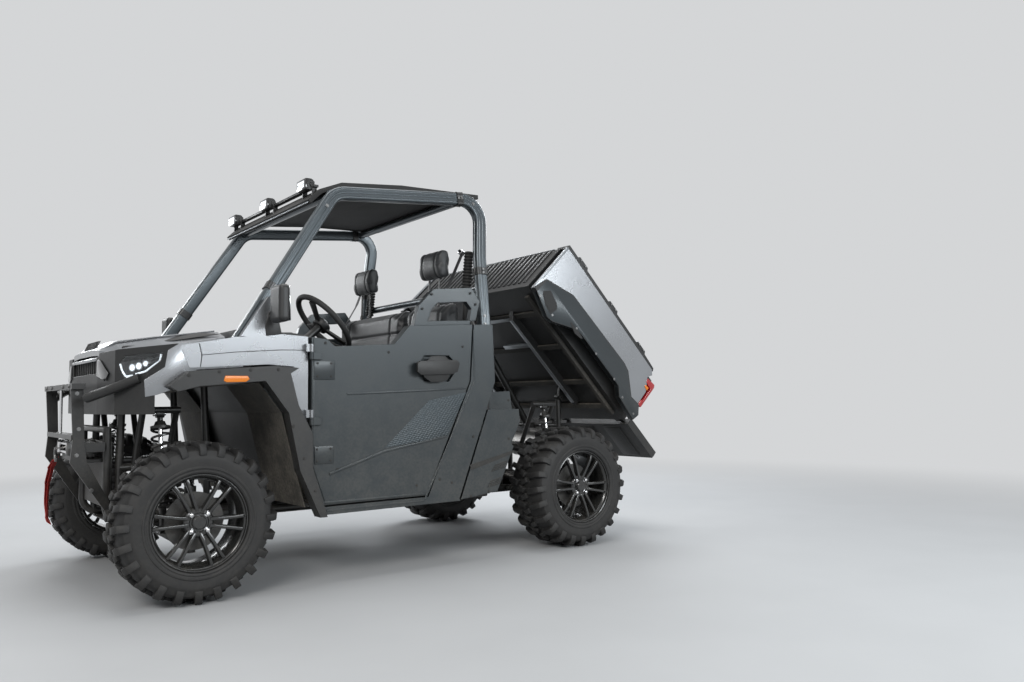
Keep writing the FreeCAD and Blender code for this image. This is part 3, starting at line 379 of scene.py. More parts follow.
def grain_group():
    group, entry, leave = new_group(
        "moulded_grain", (("Scale", FLOAT, 400.0), ("Cells", FLOAT, 0.5)), (("Height", FLOAT),))
    link = group.links.new
    place = group.nodes.new("ShaderNodeTexCoord").outputs["Object"]
    noise = add_node(group, "ShaderNodeTexNoise", Detail=2.0)
    cells = add_node(group, "ShaderNodeTexVoronoi", feature="DISTANCE_TO_EDGE")
    for node in (noise, cells):
        link(place, node.inputs["Vector"])
        link(entry.outputs["Scale"], node.inputs["Scale"])
    mixed = add_node(group, "ShaderNodeMix", data_type="FLOAT")
    link(entry.outputs["Cells"], mixed.inputs["Factor"])
    link(noise.outputs["Fac"], mixed.inputs["A"])
    link(cells.outputs["Distance"], mixed.inputs["B"])
    link(mixed.outputs["Result"], leave.inputs["Height"])
    return group


GRAIN = grain_group()

# %% Finish builder


def finish(name, colour, rough, metallic=0.0, coat=0.0, mottle=0.08, dust=0.25, wear_and_highlight=0.1,
           rubbed_and_highlit=(0.3, 0.3, 0.3), grain=0.0, grain_scale=500.0, cells=0.5, rounding=0.0025, sheen=0.0):
    """One material: the worked surface, with its painted edge highlight, feeds colour, roughness and
    normal, the grain a bump.
    """
    material = bpy.data.materials.new(name)
    material.use_nodes = True
    tree = material.node_tree
    shader = tree.nodes["Principled BSDF"]
    shader.inputs["Metallic"].default_value = metallic
    shader.inputs["Coat Weight"].default_value = coat
    shader.inputs["Coat Roughness"].default_value = 0.08
    shader.inputs["Sheen Weight"].default_value = sheen
    surface = tree.nodes.new("ShaderNodeGroup")
    surface.node_tree = WORKED_AND_HIGHLIT
    values = (("Colour", (*colour, 1)), ("Roughness", rough), ("Rounding", rounding), ("Mottle", mottle),
              ("Wear And Highlight", wear_and_highlight), ("Wear And Highlight Colour", (*rubbed_and_highlit, 1)), ("Dust", dust))
    for label, value in values:
        surface.inputs[label].default_value = value
    tree.links.new(surface.outputs["Colour"], shader.inputs["Base Color"])
    tree.links.new(surface.outputs["Roughness"], shader.inputs["Roughness"])
    normal = surface.outputs["Normal"]
    if grain:
        moulded = tree.nodes.new("ShaderNodeGroup")
        moulded.node_tree = GRAIN
        moulded.inputs["Scale"].default_value = grain_scale
        moulded.inputs["Cells"].default_value = cells
        bump = add_node(tree, "ShaderNodeBump", Strength=grain, Distance=0.001)
        tree.links.new(moulded.outputs["Height"], bump.inputs["Height"])
        tree.links.new(normal, bump.inputs["Normal"])
        normal = bump.outputs["Normal"]
    tree.links.new(normal, shader.inputs["Normal"])
    return material


# %% [markdown]
# The vehicle has few finishes, and most are black: what tells them apart is gloss and grain.
# Silver paint covers the nose, the fenders and the bed's sides. Doors and side covers are a satin
# slate with a faint green-blue tint. The cage is a dark metallic grey.

# %% The finishes
# Every finish's wear and edge colour paint its edges lighter, partly as rubbed paint and partly as a
# painted highlight; this grey is that edge colour on the black finishes.
RUB_AND_HIGHLIGHT_GREY = (0.12, 0.12, 0.12)
FINISHES = {
    "body_silver": finish("silver_paint", (0.30, 0.31, 0.325), 0.27, metallic=0.75, coat=0.4, mottle=0.0,
                          dust=0.02, wear_and_highlight=0.0, rubbed_and_highlit=(0.7, 0.7, 0.7), rounding=0.0012),
    "body_slate": finish("slate_panel", (0.030, 0.037, 0.041), 0.34, metallic=0.35, coat=0.1, mottle=0.14,
                         dust=0.22, wear_and_highlight=0.35, rubbed_and_highlit=(0.09, 0.105, 0.115), grain=0.06, grain_scale=900.0,
                         rounding=0.005),
    "trim_black": finish("grained_trim", (0.012, 0.0125, 0.013), 0.44, dust=0.14, wear_and_highlight=0.35,
                         rubbed_and_highlit=RUB_AND_HIGHLIGHT_GREY, grain=0.25, grain_scale=900.0, cells=0.7, rounding=0.004),
    "frame_black": finish("frame_coat", (0.011, 0.0115, 0.012), 0.36, coat=0.15, dust=0.18, wear_and_highlight=0.3,
                          rubbed_and_highlit=RUB_AND_HIGHLIGHT_GREY, grain=0.08, grain_scale=350.0, cells=0.2),
    "cage_grey": finish("cage_coat", (0.075, 0.088, 0.097), 0.30, metallic=0.65, coat=0.2, dust=0.10,
                        wear_and_highlight=0.25, rubbed_and_highlit=(0.25, 0.27, 0.28), rounding=0.003),
    "tyre": finish("tyre_rubber", (0.009, 0.009, 0.0095), 0.62, dust=0.07, wear_and_highlight=0.6,
                   rubbed_and_highlit=(0.06, 0.06, 0.06), grain=0.4, grain_scale=420.0, cells=0.3, rounding=0.003),
    "alloy_black": finish("wheel_coat", (0.010, 0.011, 0.012), 0.22, metallic=0.2, coat=0.7, dust=0.12,
                          wear_and_highlight=0.10, rubbed_and_highlit=RUB_AND_HIGHLIGHT_GREY),
    "bare_steel": finish("bare_steel", (0.42, 0.41, 0.40), 0.34, metallic=1.0, dust=0.3, wear_and_highlight=0.3,
                         rubbed_and_highlit=(0.65, 0.65, 0.65), grain=0.05, grain_scale=300.0, cells=0.1),
    "cast_metal": finish("cast_metal", (0.09, 0.09, 0.09), 0.5, metallic=0.8, dust=0.3, wear_and_highlight=0.3,
                         rubbed_and_highlit=(0.4, 0.4, 0.4), grain=0.3, grain_scale=220.0, cells=0.1),
    "seat_cover": finish("seat_cover", (0.022, 0.024, 0.026), 0.45, dust=0.08, wear_and_highlight=0.0, grain=0.5,
                         grain_scale=450.0, cells=0.9, sheen=0.15),
    "lamp_clear": finish("lamp_lens", (0.75, 0.8, 0.84), 0.05, dust=0.05),
    "lamp_red": finish("red_lens", (0.36, 0.008, 0.012), 0.10, coat=0.8, dust=0.08),
    "spring_black": finish("spring_coat", (0.014, 0.014, 0.016), 0.28, coat=0.5, dust=0.25, wear_and_highlight=0.2),
    "liner_dusty": finish("dusty_liner", (0.022, 0.021, 0.019), 0.75, dust=1.0, wear_and_highlight=0.1, grain=0.5,
                          grain_scale=260.0, cells=0.2),
    "gloss_black": finish("gloss_black", (0.008, 0.008, 0.009), 0.10, coat=0.9, dust=0.06, wear_and_highlight=0.05),
    "dark_steel": finish("zinc_fastener", (0.20, 0.20, 0.20), 0.38, metallic=1.0, dust=0.2, wear_and_highlight=0.3,
                         rubbed_and_highlit=(0.5, 0.5, 0.5), rounding=0.0008),
    "chrome": finish("bright_chrome", (0.75, 0.75, 0.76), 0.10, metallic=1.0, dust=0.05, wear_and_highlight=0.0,
                     rounding=0.001),
    "red_webbing": finish("red_webbing", (0.42, 0.015, 0.012), 0.8, dust=0.15, wear_and_highlight=0.0, grain=0.9,
                          grain_scale=700.0, cells=0.4, rounding=0.0006),
    "belt_webbing": finish("belt_webbing", (0.020, 0.020, 0.022), 0.7, dust=0.05, wear_and_highlight=0.0, grain=0.9,
                           grain_scale=900.0, cells=0.4, rounding=0.0006),
    "rubber_matt": finish("matt_rubber", (0.017, 0.017, 0.017), 0.72, dust=0.2, wear_and_highlight=0.2,
                          rubbed_and_highlit=(0.06, 0.06, 0.06), grain=0.3, grain_scale=600.0, cells=0.3,
                          rounding=0.0015),
    "stitching": finish("thread", (0.10, 0.11, 0.115), 0.6, dust=0.0, wear_and_highlight=0.0, rounding=0.0004),
    "screen_black": finish("display_glass", (0.006, 0.007, 0.009), 0.06, coat=1.0, dust=0.03, wear_and_highlight=0.0),
    "silver_trim": finish("silver_trim", (0.33, 0.35, 0.37), 0.34, metallic=0.8, dust=0.15, wear_and_highlight=0.2,
                          rubbed_and_highlit=(0.6, 0.6, 0.6), rounding=0.002),
}
print("finishes", len(FINISHES))

# %% Clear, glowing and amber finishes


def glass_finish(name, colour, rough=0.02):
    """Clear moulded plastic: it lets light through and keeps a gloss."""
    material = bpy.data.materials.new(name)
    material.use_nodes = True
    tree = material.node_tree
    shader = tree.nodes["Principled BSDF"]
    shader.inputs["Transmission Weight"].default_value = 1.0
    shader.inputs["IOR"].default_value = 1.35
    flow = add_node(tree, "ShaderNodeTexNoise", Scale=18.0, Detail=2.0)
    place = tree.nodes.new("ShaderNodeTexCoord")
    tree.links.new(place.outputs["Object"], flow.inputs["Vector"])
    tree.links.new(ramp_node(tree, flow.outputs["Fac"], 0.3, 0.7, rough, rough + 0.03),
                   shader.inputs["Roughness"])
    ramp = tree.nodes.new("ShaderNodeValToRGB")
    ramp.color_ramp.elements[0].color = (*(c * 0.94 for c in colour), 1)
    ramp.color_ramp.elements[1].color = (*colour, 1)
    tree.links.new(flow.outputs["Fac"], ramp.inputs["Fac"])
    tree.links.new(ramp.outputs["Color"], shader.inputs["Base Color"])
    return material


def glow_finish(name, colour, strength):
    """A lit diffuser: its colour and glow vary a little in fine ripples."""
    material = bpy.data.materials.new(name)
    material.use_nodes = True
    tree = material.node_tree
    shader = tree.nodes["Principled BSDF"]
    shader.inputs["Roughness"].default_value = 0.25
    shader.inputs["Emission Strength"].default_value = strength
    ripple = add_node(tree, "ShaderNodeTexNoise", Scale=220.0, Detail=1.0)
    place = tree.nodes.new("ShaderNodeTexCoord")
    tree.links.new(place.outputs["Object"], ripple.inputs["Vector"])
    ramp = tree.nodes.new("ShaderNodeValToRGB")
    ramp.color_ramp.elements[0].color = (*(c * 0.8 for c in colour), 1)
    ramp.color_ramp.elements[1].color = (*colour, 1)
    tree.links.new(ripple.outputs["Fac"], ramp.inputs["Fac"])
    tree.links.new(ramp.outputs["Color"], shader.inputs["Base Color"])
    tree.links.new(ramp.outputs["Color"], shader.inputs["Emission Color"])
    return material


FINISHES["clear_lens"] = glass_finish("clear_lens", (0.93, 0.96, 0.98))
FINISHES["mirror_glass"] = finish("mirror_glass", (0.85, 0.87, 0.88), 0.03, metallic=1.0, dust=0.04,
                                  wear_and_highlight=0.0)
FINISHES["lit_white"] = glow_finish("lit_diffuser", (0.92, 0.96, 1.0), 0.9)
FINISHES["amber_lens"] = glow_finish("amber_lens", (0.72, 0.20, 0.015), 0.12)
print("clear and lit finishes", 4)

# %% Finishes onto the CAD nodes
SLOT_OF = {row["node"]: row["material_slot"] for row in frame["record"]["subparts"]}
OWN_FINISH = {"arch_liners": "liner_dusty", "seat_base": "trim_black", "dashboard": "trim_black",
              "door_trim_left": "body_slate", "door_trim_right": "body_slate", "roof": "rubber_matt"}


def dress_nodes():
    """Give every CAD node the finish of its slot, or its own."""
    for name, slot in SLOT_OF.items():
        things = nodes[name].data.materials
        things.clear()
        things.append(FINISHES[OWN_FINISH.get(name, slot)])


dress_nodes()
print("dressed", len(SLOT_OF), "nodes")

# %% [markdown]
# ## Mesh helpers
# Most pieces start as a flat outline or a profile. Extruding the outline makes a plate, spinning the
# profile makes a turned part, and a small bevel on every sharp edge makes either look moulded or
# machined. `finish_piece` then hangs the mesh on a body of the frame and gives it its finish.

# %% Mesh helpers


def add_outline(bm, corners, offset):
    """A plate: one face through the corners, extruded by an offset. Returns its vertices."""
    face = bm.faces.new([bm.verts.new(p) for p in corners])
    grown = bmesh.ops.extrude_face_region(bm, geom=[face])["geom"]
    moved = [g for g in grown if isinstance(g, bmesh.types.BMVert)]
    bmesh.ops.translate(bm, verts=moved, vec=offset)
    return list(face.verts) + moved


def side_plate(bm, outline, y_low, y_high, place=None):
    """A plate from an (x, z) outline in millimetres, between two distances from the middle."""
    place = place or (lambda x, y, z: spot(x, y, z))
    first = [place(x, y_low, z) for x, z in outline]
    return add_outline(bm, first, place(outline[0][0], y_high, outline[0][1]) - first[0])


def bed_plate(bm, outline, y_low, y_high):
    """A plate from a (back, down) outline on the bed."""
    return side_plate(bm, outline, y_low, y_high, lambda u, y, d: bed_spot(u, y, d))


def add_box(bm, low, high, place=spot):
    """A box between two corners, in millimetres."""
    (x0, y0, z0), (x1, y1, z1) = low, high
    corners = [place(x, y, z0) for x, y in ((x0, y0), (x1, y0), (x1, y1), (x0, y1))]
    return add_outline(bm, corners, place(x0, y0, z1) - corners[0])


def add_cylinder(bm, start, end, radius, sides=16, end_radius=None):
    """A round bar between two places in metres, with a radius in millimetres."""
    way = end - start
    turn = way.to_track_quat("Z", "Y").to_matrix().to_4x4()
    reach = radius if end_radius is None else end_radius
    made = bmesh.ops.create_cone(bm, cap_ends=True, segments=sides, radius1=radius * MM, radius2=reach * MM,
                                 depth=way.length, matrix=Matrix.Translation((start + end) / 2) @ turn)
    return made["verts"]


def add_turned(bm, profile, middle, axis, steps=48):
    """Spin an (along, radius) profile in millimetres about an axis through a place in metres."""
    axis = Vector(axis).normalized()
    side = axis.cross(Vector((0, 0, 1)))
    if side.length < 0.1:
        side = axis.cross(Vector((1, 0, 0)))
    side.normalize()
    verts = [bm.verts.new(middle + axis * (a * MM) + side * (r * MM)) for a, r in profile]
    edges = [bm.edges.new(pair) for pair in zip(verts, verts[1:])]
    made = bmesh.ops.spin(bm, geom=verts + edges, cent=middle, axis=axis, angle=2 * math.pi, steps=steps,
                          use_merge=True)
    return made


def mirror_all(bm):
    """Add the same on the other side of the vehicle."""
    geom = bm.verts[:] + bm.edges[:] + bm.faces[:]
    copy = bmesh.ops.duplicate(bm, geom=geom)["geom"]
    verts = [g for g in copy if isinstance(g, bmesh.types.BMVert)]
    bmesh.ops.scale(bm, verts=verts, vec=(1, -1, 1))
    faces = [g for g in copy if isinstance(g, bmesh.types.BMFace)]
    bmesh.ops.reverse_faces(bm, faces=faces)


def round_edges(bm, width, segments=2, angle=28.0):
    """Bevel every edge whose faces meet at more than an angle."""
    limit = math.radians(angle)
    edges = [e for e in bm.edges if len(e.link_faces) == 2 and e.calc_face_angle(0) > limit]
    bmesh.ops.bevel(bm, geom=edges, offset=width * MM, segments=segments, profile=0.5, affect="EDGES",
                    clamp_overlap=True, material=-1)


def soften(bm, width, segments=2, angle=28):
    """Turn the faces outwards, then round the edges."""
    bmesh.ops.recalc_face_normals(bm, faces=bm.faces[:])
    round_edges(bm, width, segments, angle)


def finish_piece(name, bm, body, finishes, replaced=(), crease=32.0, tidy=True):
    """Turn a bmesh into a piece: normals outwards, smooth but for its creases, on a body."""
    if tidy:
        bmesh.ops.remove_doubles(bm, verts=bm.verts[:], dist=0.00002)
        bmesh.ops.recalc_face_normals(bm, faces=bm.faces[:])
    mesh = bpy.data.meshes.new(name)
    bm.to_mesh(mesh)
    bm.free()
    mesh.polygons.foreach_set("use_smooth", [True] * len(mesh.polygons))
    mesh.set_sharp_from_angle(angle=math.radians(crease))
    names = (finishes,) if isinstance(finishes, str) else finishes
    for one in names:
        mesh.materials.append(FINISHES[one])
    piece = bpy.data.objects.new(name, mesh)
    scene.collection.objects.link(piece)
    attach(piece, body)
    if replaced:
        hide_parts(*replaced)
    return piece


def rounded_line(points, radius, steps=6):
    """Points in metres with every corner turned into an arc of a radius in millimetres."""
    line = [points[0]]
    for before, corner, after in zip(points, points[1:], points[2:]):
        back = (before - corner).normalized()
        ahead = (after - corner).normalized()
        half = back.angle(ahead) / 2
        reach = min(radius * MM / math.tan(half), (before - corner).length * 0.48,
                    (after - corner).length * 0.48)
        arc = reach * math.tan(half)
        centre = corner + (back + ahead).normalized() * (arc / math.sin(half))
        first = corner + back * reach - centre
        last = corner + ahead * reach - centre
        length = first.length
        first, last = first.normalized(), last.normalized()
        line += [centre + first.slerp(last, i / steps) * length for i in range(steps + 1)]
    return line + [points[-1]]


def add_pipe(bm, points, radius, bend=60.0, sides=16, section=None, closed=False, twist="MINIMUM"):
    """A bent bar along places in metres, made as a curve with a round or given section."""
    data = bpy.data.curves.new("line", "CURVE")
    data.dimensions = "3D"
    data.twist_mode = twist
    line = rounded_line(points, bend) if bend and len(points) > 2 else points
    spline = data.splines.new("POLY")
    spline.points.add(len(line) - 1)
    for point, place in zip(spline.points, line):
        point.co = (*place, 1)
    spline.use_cyclic_u = closed
    if section is None:
        data.bevel_depth = radius * MM
        data.bevel_resolution = max(0, sides // 4 - 1)
    else:
        data.bevel_mode = "OBJECT"
        data.bevel_object = section
    data.use_fill_caps = not closed
    thing = bpy.data.objects.new("line", data)
    scene.collection.objects.link(thing)
    bpy.context.view_layer.update()
    mesh = bpy.data.meshes.new_from_object(thing.evaluated_get(bpy.context.evaluated_depsgraph_get()))
    bm.from_mesh(mesh)
    bpy.data.meshes.remove(mesh)
    bpy.data.objects.remove(thing)
    bpy.data.curves.remove(data)


def bolt_head(bm, place, way, size=8.0, tall=4.0):
    """A hexagon bolt head on a thin washer."""
    way = Vector(way).normalized()
    add_cylinder(bm, place, place + way * 0.0012, size * 1.25, 16)
    add_cylinder(bm, place + way * 0.001, place + way * (tall * MM), size, 6, size * 0.93)


print("helpers ready")

# %% [markdown]
# ## Wheels
# An off-road tyre is a round carcass with chunky tread bars that wrap over the shoulder, and smaller
# blocks between them in the middle. The carcass is a spun profile with raised rings near the bead.
# One bar and one block are extruded, bevelled and then copied round the axle by rotation, which
# keeps each of them light.

# %% Tyre builder
TYRE_RADIUS = 325.0
TYRE_OUTER = 797.0
RIM_RADIUS = 195.0
LUG_COUNT = 24
LUG_TALL = 21.0
CARCASS_STEPS = 96


def tread_bar(bm, outline, width, skew, side):
    """One raised bar at the top of the wheel, from an (across, radius) outline."""
    verts = add_outline(bm, [Vector((-width / 2, y, r)) * MM for y, r in outline],
                        Vector((width * MM, 0, 0)))
    middle = Vector((0, sum(y for y, r in outline) / len(outline) * MM, 0))
    bmesh.ops.rotate(bm, verts=verts, cent=middle, matrix=Matrix.Rotation(math.radians(skew), 3, "Z"))
    if side < 0:
        bmesh.ops.scale(bm, verts=verts, vec=(1, -1, 1))
    return verts


def tyre_mesh(width):
    """A tyre about the Y axis at the origin."""
    half = width / 2
    root = TYRE_RADIUS - LUG_TALL
    bm = bmesh.new()
    for side, phase in ((1, 0.0), (-1, 0.5)):
        shoulder = [(half * 0.30, root - 6), (half * 0.32, TYRE_RADIUS - 2),
                    (half * 0.72, TYRE_RADIUS - 0.5), (half * 0.90, TYRE_RADIUS - 10),
                    (half * 0.985, TYRE_RADIUS - 30), (half * 0.995, TYRE_RADIUS - 56),
                    (half * 0.93, TYRE_RADIUS - 58), (half * 0.8, root - 14)]
        inner = [(-half * 0.10, root - 6), (-half * 0.08, TYRE_RADIUS - 1), (half * 0.24, TYRE_RADIUS - 1),
                 (half * 0.26, root - 6)]
        tie = [(half * 0.22, root - 6), (half * 0.22, root + 9), (half * 0.36, root + 9),
               (half * 0.36, root - 6)]
        for outline, wide, skew, turn in ((shoulder, 29.0, 12.0, 0.0), (inner, 26.0, 24.0, 0.5),
                                          (tie, 12.0, 0.0, 0.0)):
            master = bmesh.new()
            tread_bar(master, outline, wide, skew, side)
            soften(master, 2.6, 2)
            bar = bpy.data.meshes.new("bar")
            master.to_mesh(bar)
            master.free()
            for i in range(LUG_COUNT):
                before = len(bm.verts)
                bm.from_mesh(bar)
                bm.verts.ensure_lookup_table()
                angle = 2 * math.pi * (i + phase + turn) / LUG_COUNT
                bmesh.ops.rotate(bm, verts=bm.verts[before:], cent=(0, 0, 0),
                                 matrix=Matrix.Rotation(angle, 3, "Y"))
            bpy.data.meshes.remove(bar)
    profile = [(half - 14, RIM_RADIUS + 0.5), (half - 6, RIM_RADIUS + 3), (half - 3, 205), (half - 5, 209),
               (half - 4, 214), (half - 1, 217), (half - 1, 223), (half - 4, 226), (half - 3, 240),
               (half - 2, 256), (half - 3, 262), (half - 7, 272), (half - 14, 288), (half - 26, root - 8),
               (half * 0.5, root), (0, root + 1)]
    profile = profile + [(-y, r) for y, r in profile[-2::-1]]
    add_turned(bm, profile, Vector((0, 0, 0)), (0, 1, 0), CARCASS_STEPS)
    mesh = bpy.data.meshes.new("tyre")
    bm.to_mesh(mesh)
    bm.free()
    return mesh


def hang_wheel(name, source, x, y, side, body, finishes, replaced):
    """A wheel piece made for the left side at the origin, set on its axle or mirrored there."""
    bm = bmesh.new()
    bm.from_mesh(source)
    if side < 0:
        bmesh.ops.scale(bm, verts=bm.verts[:], vec=(1, -1, 1))
        bmesh.ops.reverse_faces(bm, faces=bm.faces[:])
    bmesh.ops.translate(bm, verts=bm.verts[:], vec=(x, side * y, AXLE_Z))
    for face in bm.faces:
        face.smooth = True
    return finish_piece(name, bm, body, finishes, replaced, tidy=False)


# %% [markdown]
# The wheels are gloss black alloys with six pairs of flat spokes. A spun rim gives the lip its
# bright step, each spoke is a tapered bar that dips towards the hub, and four lug nuts sit on the
# hub round its centre cap. Behind the spokes the drilled brake disc and its caliper show.

# %% Rim builder
SPOKE_PAIRS = 6
SPOKE_TURN = math.radians(25)


def spoke(bm, lip, side, turn):
    rows = (
        # (off the pair's middle, outwards place, radius, half width, half depth)
        (13.0, lip - 30, 42, 11.0, 13.0),
        (17.0, lip - 24, 90, 9.5, 12.0),
        (22.0, lip - 19, 140, 9.0, 10.0),
        (27.0, lip - 21, 179, 10.5, 11.0),
    )
    rings = []
    for off, y, r, wide, deep in rows:
        corners = ((-wide, -deep), (wide, -deep), (wide * 0.62, deep), (-wide * 0.62, deep))
        rings.append([bm.verts.new(Vector((side * off + a, y + b, r)) * MM) for a, b in corners])
    edges = []
    for ring in rings:
        edges.append([bm.edges.new((ring[i], ring[(i + 1) % 4])) for i in range(4)])
    faces = []
    for one, two in zip(edges, edges[1:]):
        faces += bmesh.ops.bridge_loops(bm, edges=one + two)["faces"]
    faces += [bm.faces.new(rings[0][::-1]), bm.faces.new(rings[-1])]
    verts = [v for ring in rings for v in ring]
    bmesh.ops.rotate(bm, verts=verts, cent=(0, 0, 0), matrix=Matrix.Rotation(turn, 3, "Y"))


def rim_mesh(width):
    half = width / 2
    lip = half - 12
    bm = bmesh.new()
    for i in range(SPOKE_PAIRS):
        for side in (-1, 1):
            spoke(bm, lip, side, SPOKE_TURN + i * 2 * math.pi / SPOKE_PAIRS)
    soften(bm, 2.4, 2)
    barrel = [(lip, 188), (lip + 1.5, 191), (lip, RIM_RADIUS), (lip - 5, RIM_RADIUS - 1), (lip - 14, 188),
              (-lip + 14, 186), (-lip, RIM_RADIUS - 1), (-lip + 1, 188), (-lip + 16, 176), (0, 168),
              (lip - 40, 170), (lip - 22, 177), (lip - 13, 181), (lip - 9, 186), (lip, 188)]
    add_turned(bm, barrel, Vector((0, 0, 0)), (0, 1, 0), 96)
    hub = [(lip - 60, 0), (lip - 60, 56), (lip - 40, 62), (lip - 26, 60), (lip - 20, 54), (lip - 19, 40),
           (lip - 22, 36), (lip - 22, 0)]
    add_turned(bm, hub, Vector((0, 0, 0)), (0, 1, 0), 48)
    cap = [(lip - 24, 0), (lip - 24, 29), (lip - 12, 28), (lip - 8, 24), (lip - 7, 0)]
    add_turned(bm, cap, Vector((0, 0, 0)), (0, 1, 0), 48)
    mesh = bpy.data.meshes.new("rim")
    bm.to_mesh(mesh)
    bm.free()
    return mesh


def nuts_mesh(width):
    """Four lug nuts and the valve."""
    lip = width / 2 - 12
    bm = bmesh.new()
    for i in range(4):
        turn = math.radians(45 + 90 * i)
        place = Vector((math.sin(turn) * 46, lip - 24, math.cos(turn) * 46)) * MM
        add_cylinder(bm, place, place + Vector((0, 0.017, 0)), 9.5, 6, 8.8)
        add_cylinder(bm, place + Vector((0, 0.017, 0)), place + Vector((0, 0.020, 0)), 7.0, 12, 4.0)
        add_cylinder(bm, place - Vector((0, 0.004, 0)), place + Vector((0, 0.004, 0)), 12.5, 16)
    soften(bm, 0.6, 1)
    place = Vector((0.030, (lip - 16) * MM, 0.168))
    add_cylinder(bm, place, place + Vector((0, 0.022, -0.012)), 3.0, 10)
    mesh = bpy.data.meshes.new("nuts")
    bm.to_mesh(mesh)
    bm.free()
    return mesh


def disc_mesh(width):
    """The drilled brake disc behind the spokes."""
    back = width / 2 - 12 - 60
    bm = bmesh.new()
    disc = [(back - 22, 52), (back - 22, 118), (back - 27, 118), (back - 27, 52), (back - 22, 52)]
    add_turned(bm, disc, Vector((0, 0, 0)), (0, 1, 0), 64)
    bell = [(back - 22, 60), (back + 2, 58), (back + 2, 40), (back - 26, 40), (back - 26, 60),
            (back - 22, 60)]
    add_turned(bm, bell, Vector((0, 0, 0)), (0, 1, 0), 48)
    for ring, count, phase in ((78, 16, 0.0), (92, 16, 0.5), (106, 16, 0.0)):
        for i in range(count):
            turn = 2 * math.pi * (i + phase) / count
            place = Vector((math.sin(turn) * ring, back - 22.4, math.cos(turn) * ring)) * MM
            add_cylinder(bm, place, place + Vector((0, 0.0008, 0)), 3.4, 8)
    mesh = bpy.data.meshes.new("disc")
    bm.to_mesh(mesh)
    bm.free()
    return mesh


# %% Four wheels
for axle, x, width in (("front", FRONT_AXLE_X, 229.0), ("rear", REAR_AXLE_X, 279.0)):
    middle = (TYRE_OUTER - width / 2) * MM
    rubber, metal, nuts, disc = tyre_mesh(width), rim_mesh(width), nuts_mesh(width), disc_mesh(width)
    for name, side in (("left", 1), ("right", -1)):
        body = "wheel_" + axle + "_" + name
        hang_wheel(axle + "_tread_" + name, rubber, x, middle, side, body, "tyre",
                   (axle + "_tyre_" + name,))
        hang_wheel(axle + "_alloy_" + name, metal, x, middle, side, body, "alloy_black",
                   (axle + "_rim_" + name,))
        hang_wheel(axle + "_lug_nuts_" + name, nuts, x, middle, side, body, "chrome", ())
        hang_wheel(axle + "_brake_disc_" + name, disc, x, middle, side, body, "cast_metal",
                   ())
    print(axle, "tyre", len(rubber.polygons), "faces, rim", len(metal.polygons))

# %% [markdown]
# ## Roll cage and roof
# The cage is not plain pipe: each hoop is a rolled section with two grooves along its outer face,
# which catch a dark line between two bright ones. One ring of vertices follows the hoop's line, with
# a mitred ring at every step of its bends, and `bridge_loops` joins the rings. The hoop is made
# upright and then leaned inwards, as the real one is.

# %% Cage section and line
CAGE_FOOT_Y, CAGE_FOOT_Z, CAGE_ROOF_Y, CAGE_ROOF_Z = 676.0, 1083.0, 600.0, 1850.0
CAGE_BEND = 110.0
HOOP_LINE = ((1890, 1030), (1392, 1795), (540, 1876), (567, 1560), (567, 1151))
HOOP_HALF = (
    # (across the hoop's line, out from it) round half of the section
    (0.0, 20.5), (3.5, 21.0), (6.0, 24.0), (15.0, 24.0), (17.0, 22.0), (19.0, 22.0), (21.0, 23.6),
    (26.0, 22.6), (29.6, 19.4), (31.0, 15.0), (31.0, 4.0), (29.0, 2.0), (29.0, -2.0), (31.0, -4.0),
    (31.0, -15.0), (29.0, -20.0), (25.0, -23.2), (20.0, -24.0), (0.0, -24.0),
)
LEAN = Matrix.Rotation(math.atan2(CAGE_FOOT_Y - CAGE_ROOF_Y, CAGE_ROOF_Z - CAGE_FOOT_Z), 3, "X")


def hoop_point(x, out, z):
    """A place on the left hoop, leaned inwards about its foot."""
    upright = Vector((x, out, z - CAGE_FOOT_Z))
    leaned = LEAN @ upright
    return spot(leaned.x, leaned.y + CAGE_FOOT_Y, leaned.z + CAGE_FOOT_Z)


def hoop_rings(bm, line, section):
    """Rings of vertices along an (x, z) line, mitred where it turns, joined by bridging."""
    ways = [(b - a).normalized() for a, b in zip(line, line[1:])]
    rings = []
    for i, here in enumerate(line):
        before, after = ways[max(i - 1, 0)], ways[min(i, len(ways) - 1)]
        middle = (before + after).normalized()
        across = Vector((middle.y, -middle.x)) / middle.dot(after)
        rings.append([bm.verts.new(hoop_point(here.x + across.x * a, b, here.y + across.y * a)) for a,
                      b in section])
    count = len(section)
    loops = [[bm.edges.new((ring[i], ring[(i + 1) % count])) for i in range(count)] for ring in rings]
    for one, two in zip(loops, loops[1:]):
        bmesh.ops.bridge_loops(bm, edges=one + two)
    bm.faces.new(rings[0][::-1])
    bm.faces.new(rings[-1])


def rounded_flat(points, radius, steps=7):
    """An (x, z) line with rounded corners."""
    solid = rounded_line([Vector((x * MM, 0, z * MM)) for x, z in points], radius, steps)
    return [Vector((p.x, p.z)) / MM for p in solid]


# %% Hoops and cross tubes
section = list(HOOP_HALF) + [(-a, b) for a, b in HOOP_HALF[-2:0:-1]]
cage = bmesh.new()
hoop_rings(cage, rounded_flat(HOOP_LINE, CAGE_BEND), section)
mirror_all(cage)
for x, z, reach in ((1392, 1791, 590), (640, 1864, 588), (567, 1380, 632)):
    add_cylinder(cage, spot(x, -reach, z), spot(x, reach, z), 20, 32)
    for way in (-1, 1):
        add_cylinder(cage, spot(x, way * (reach - 22), z), spot(x, way * (reach - 12), z), 24, 32)
finish_piece("cage_hoops", cage, "chassis", "cage_grey", ("roll_cage",), crease=40)

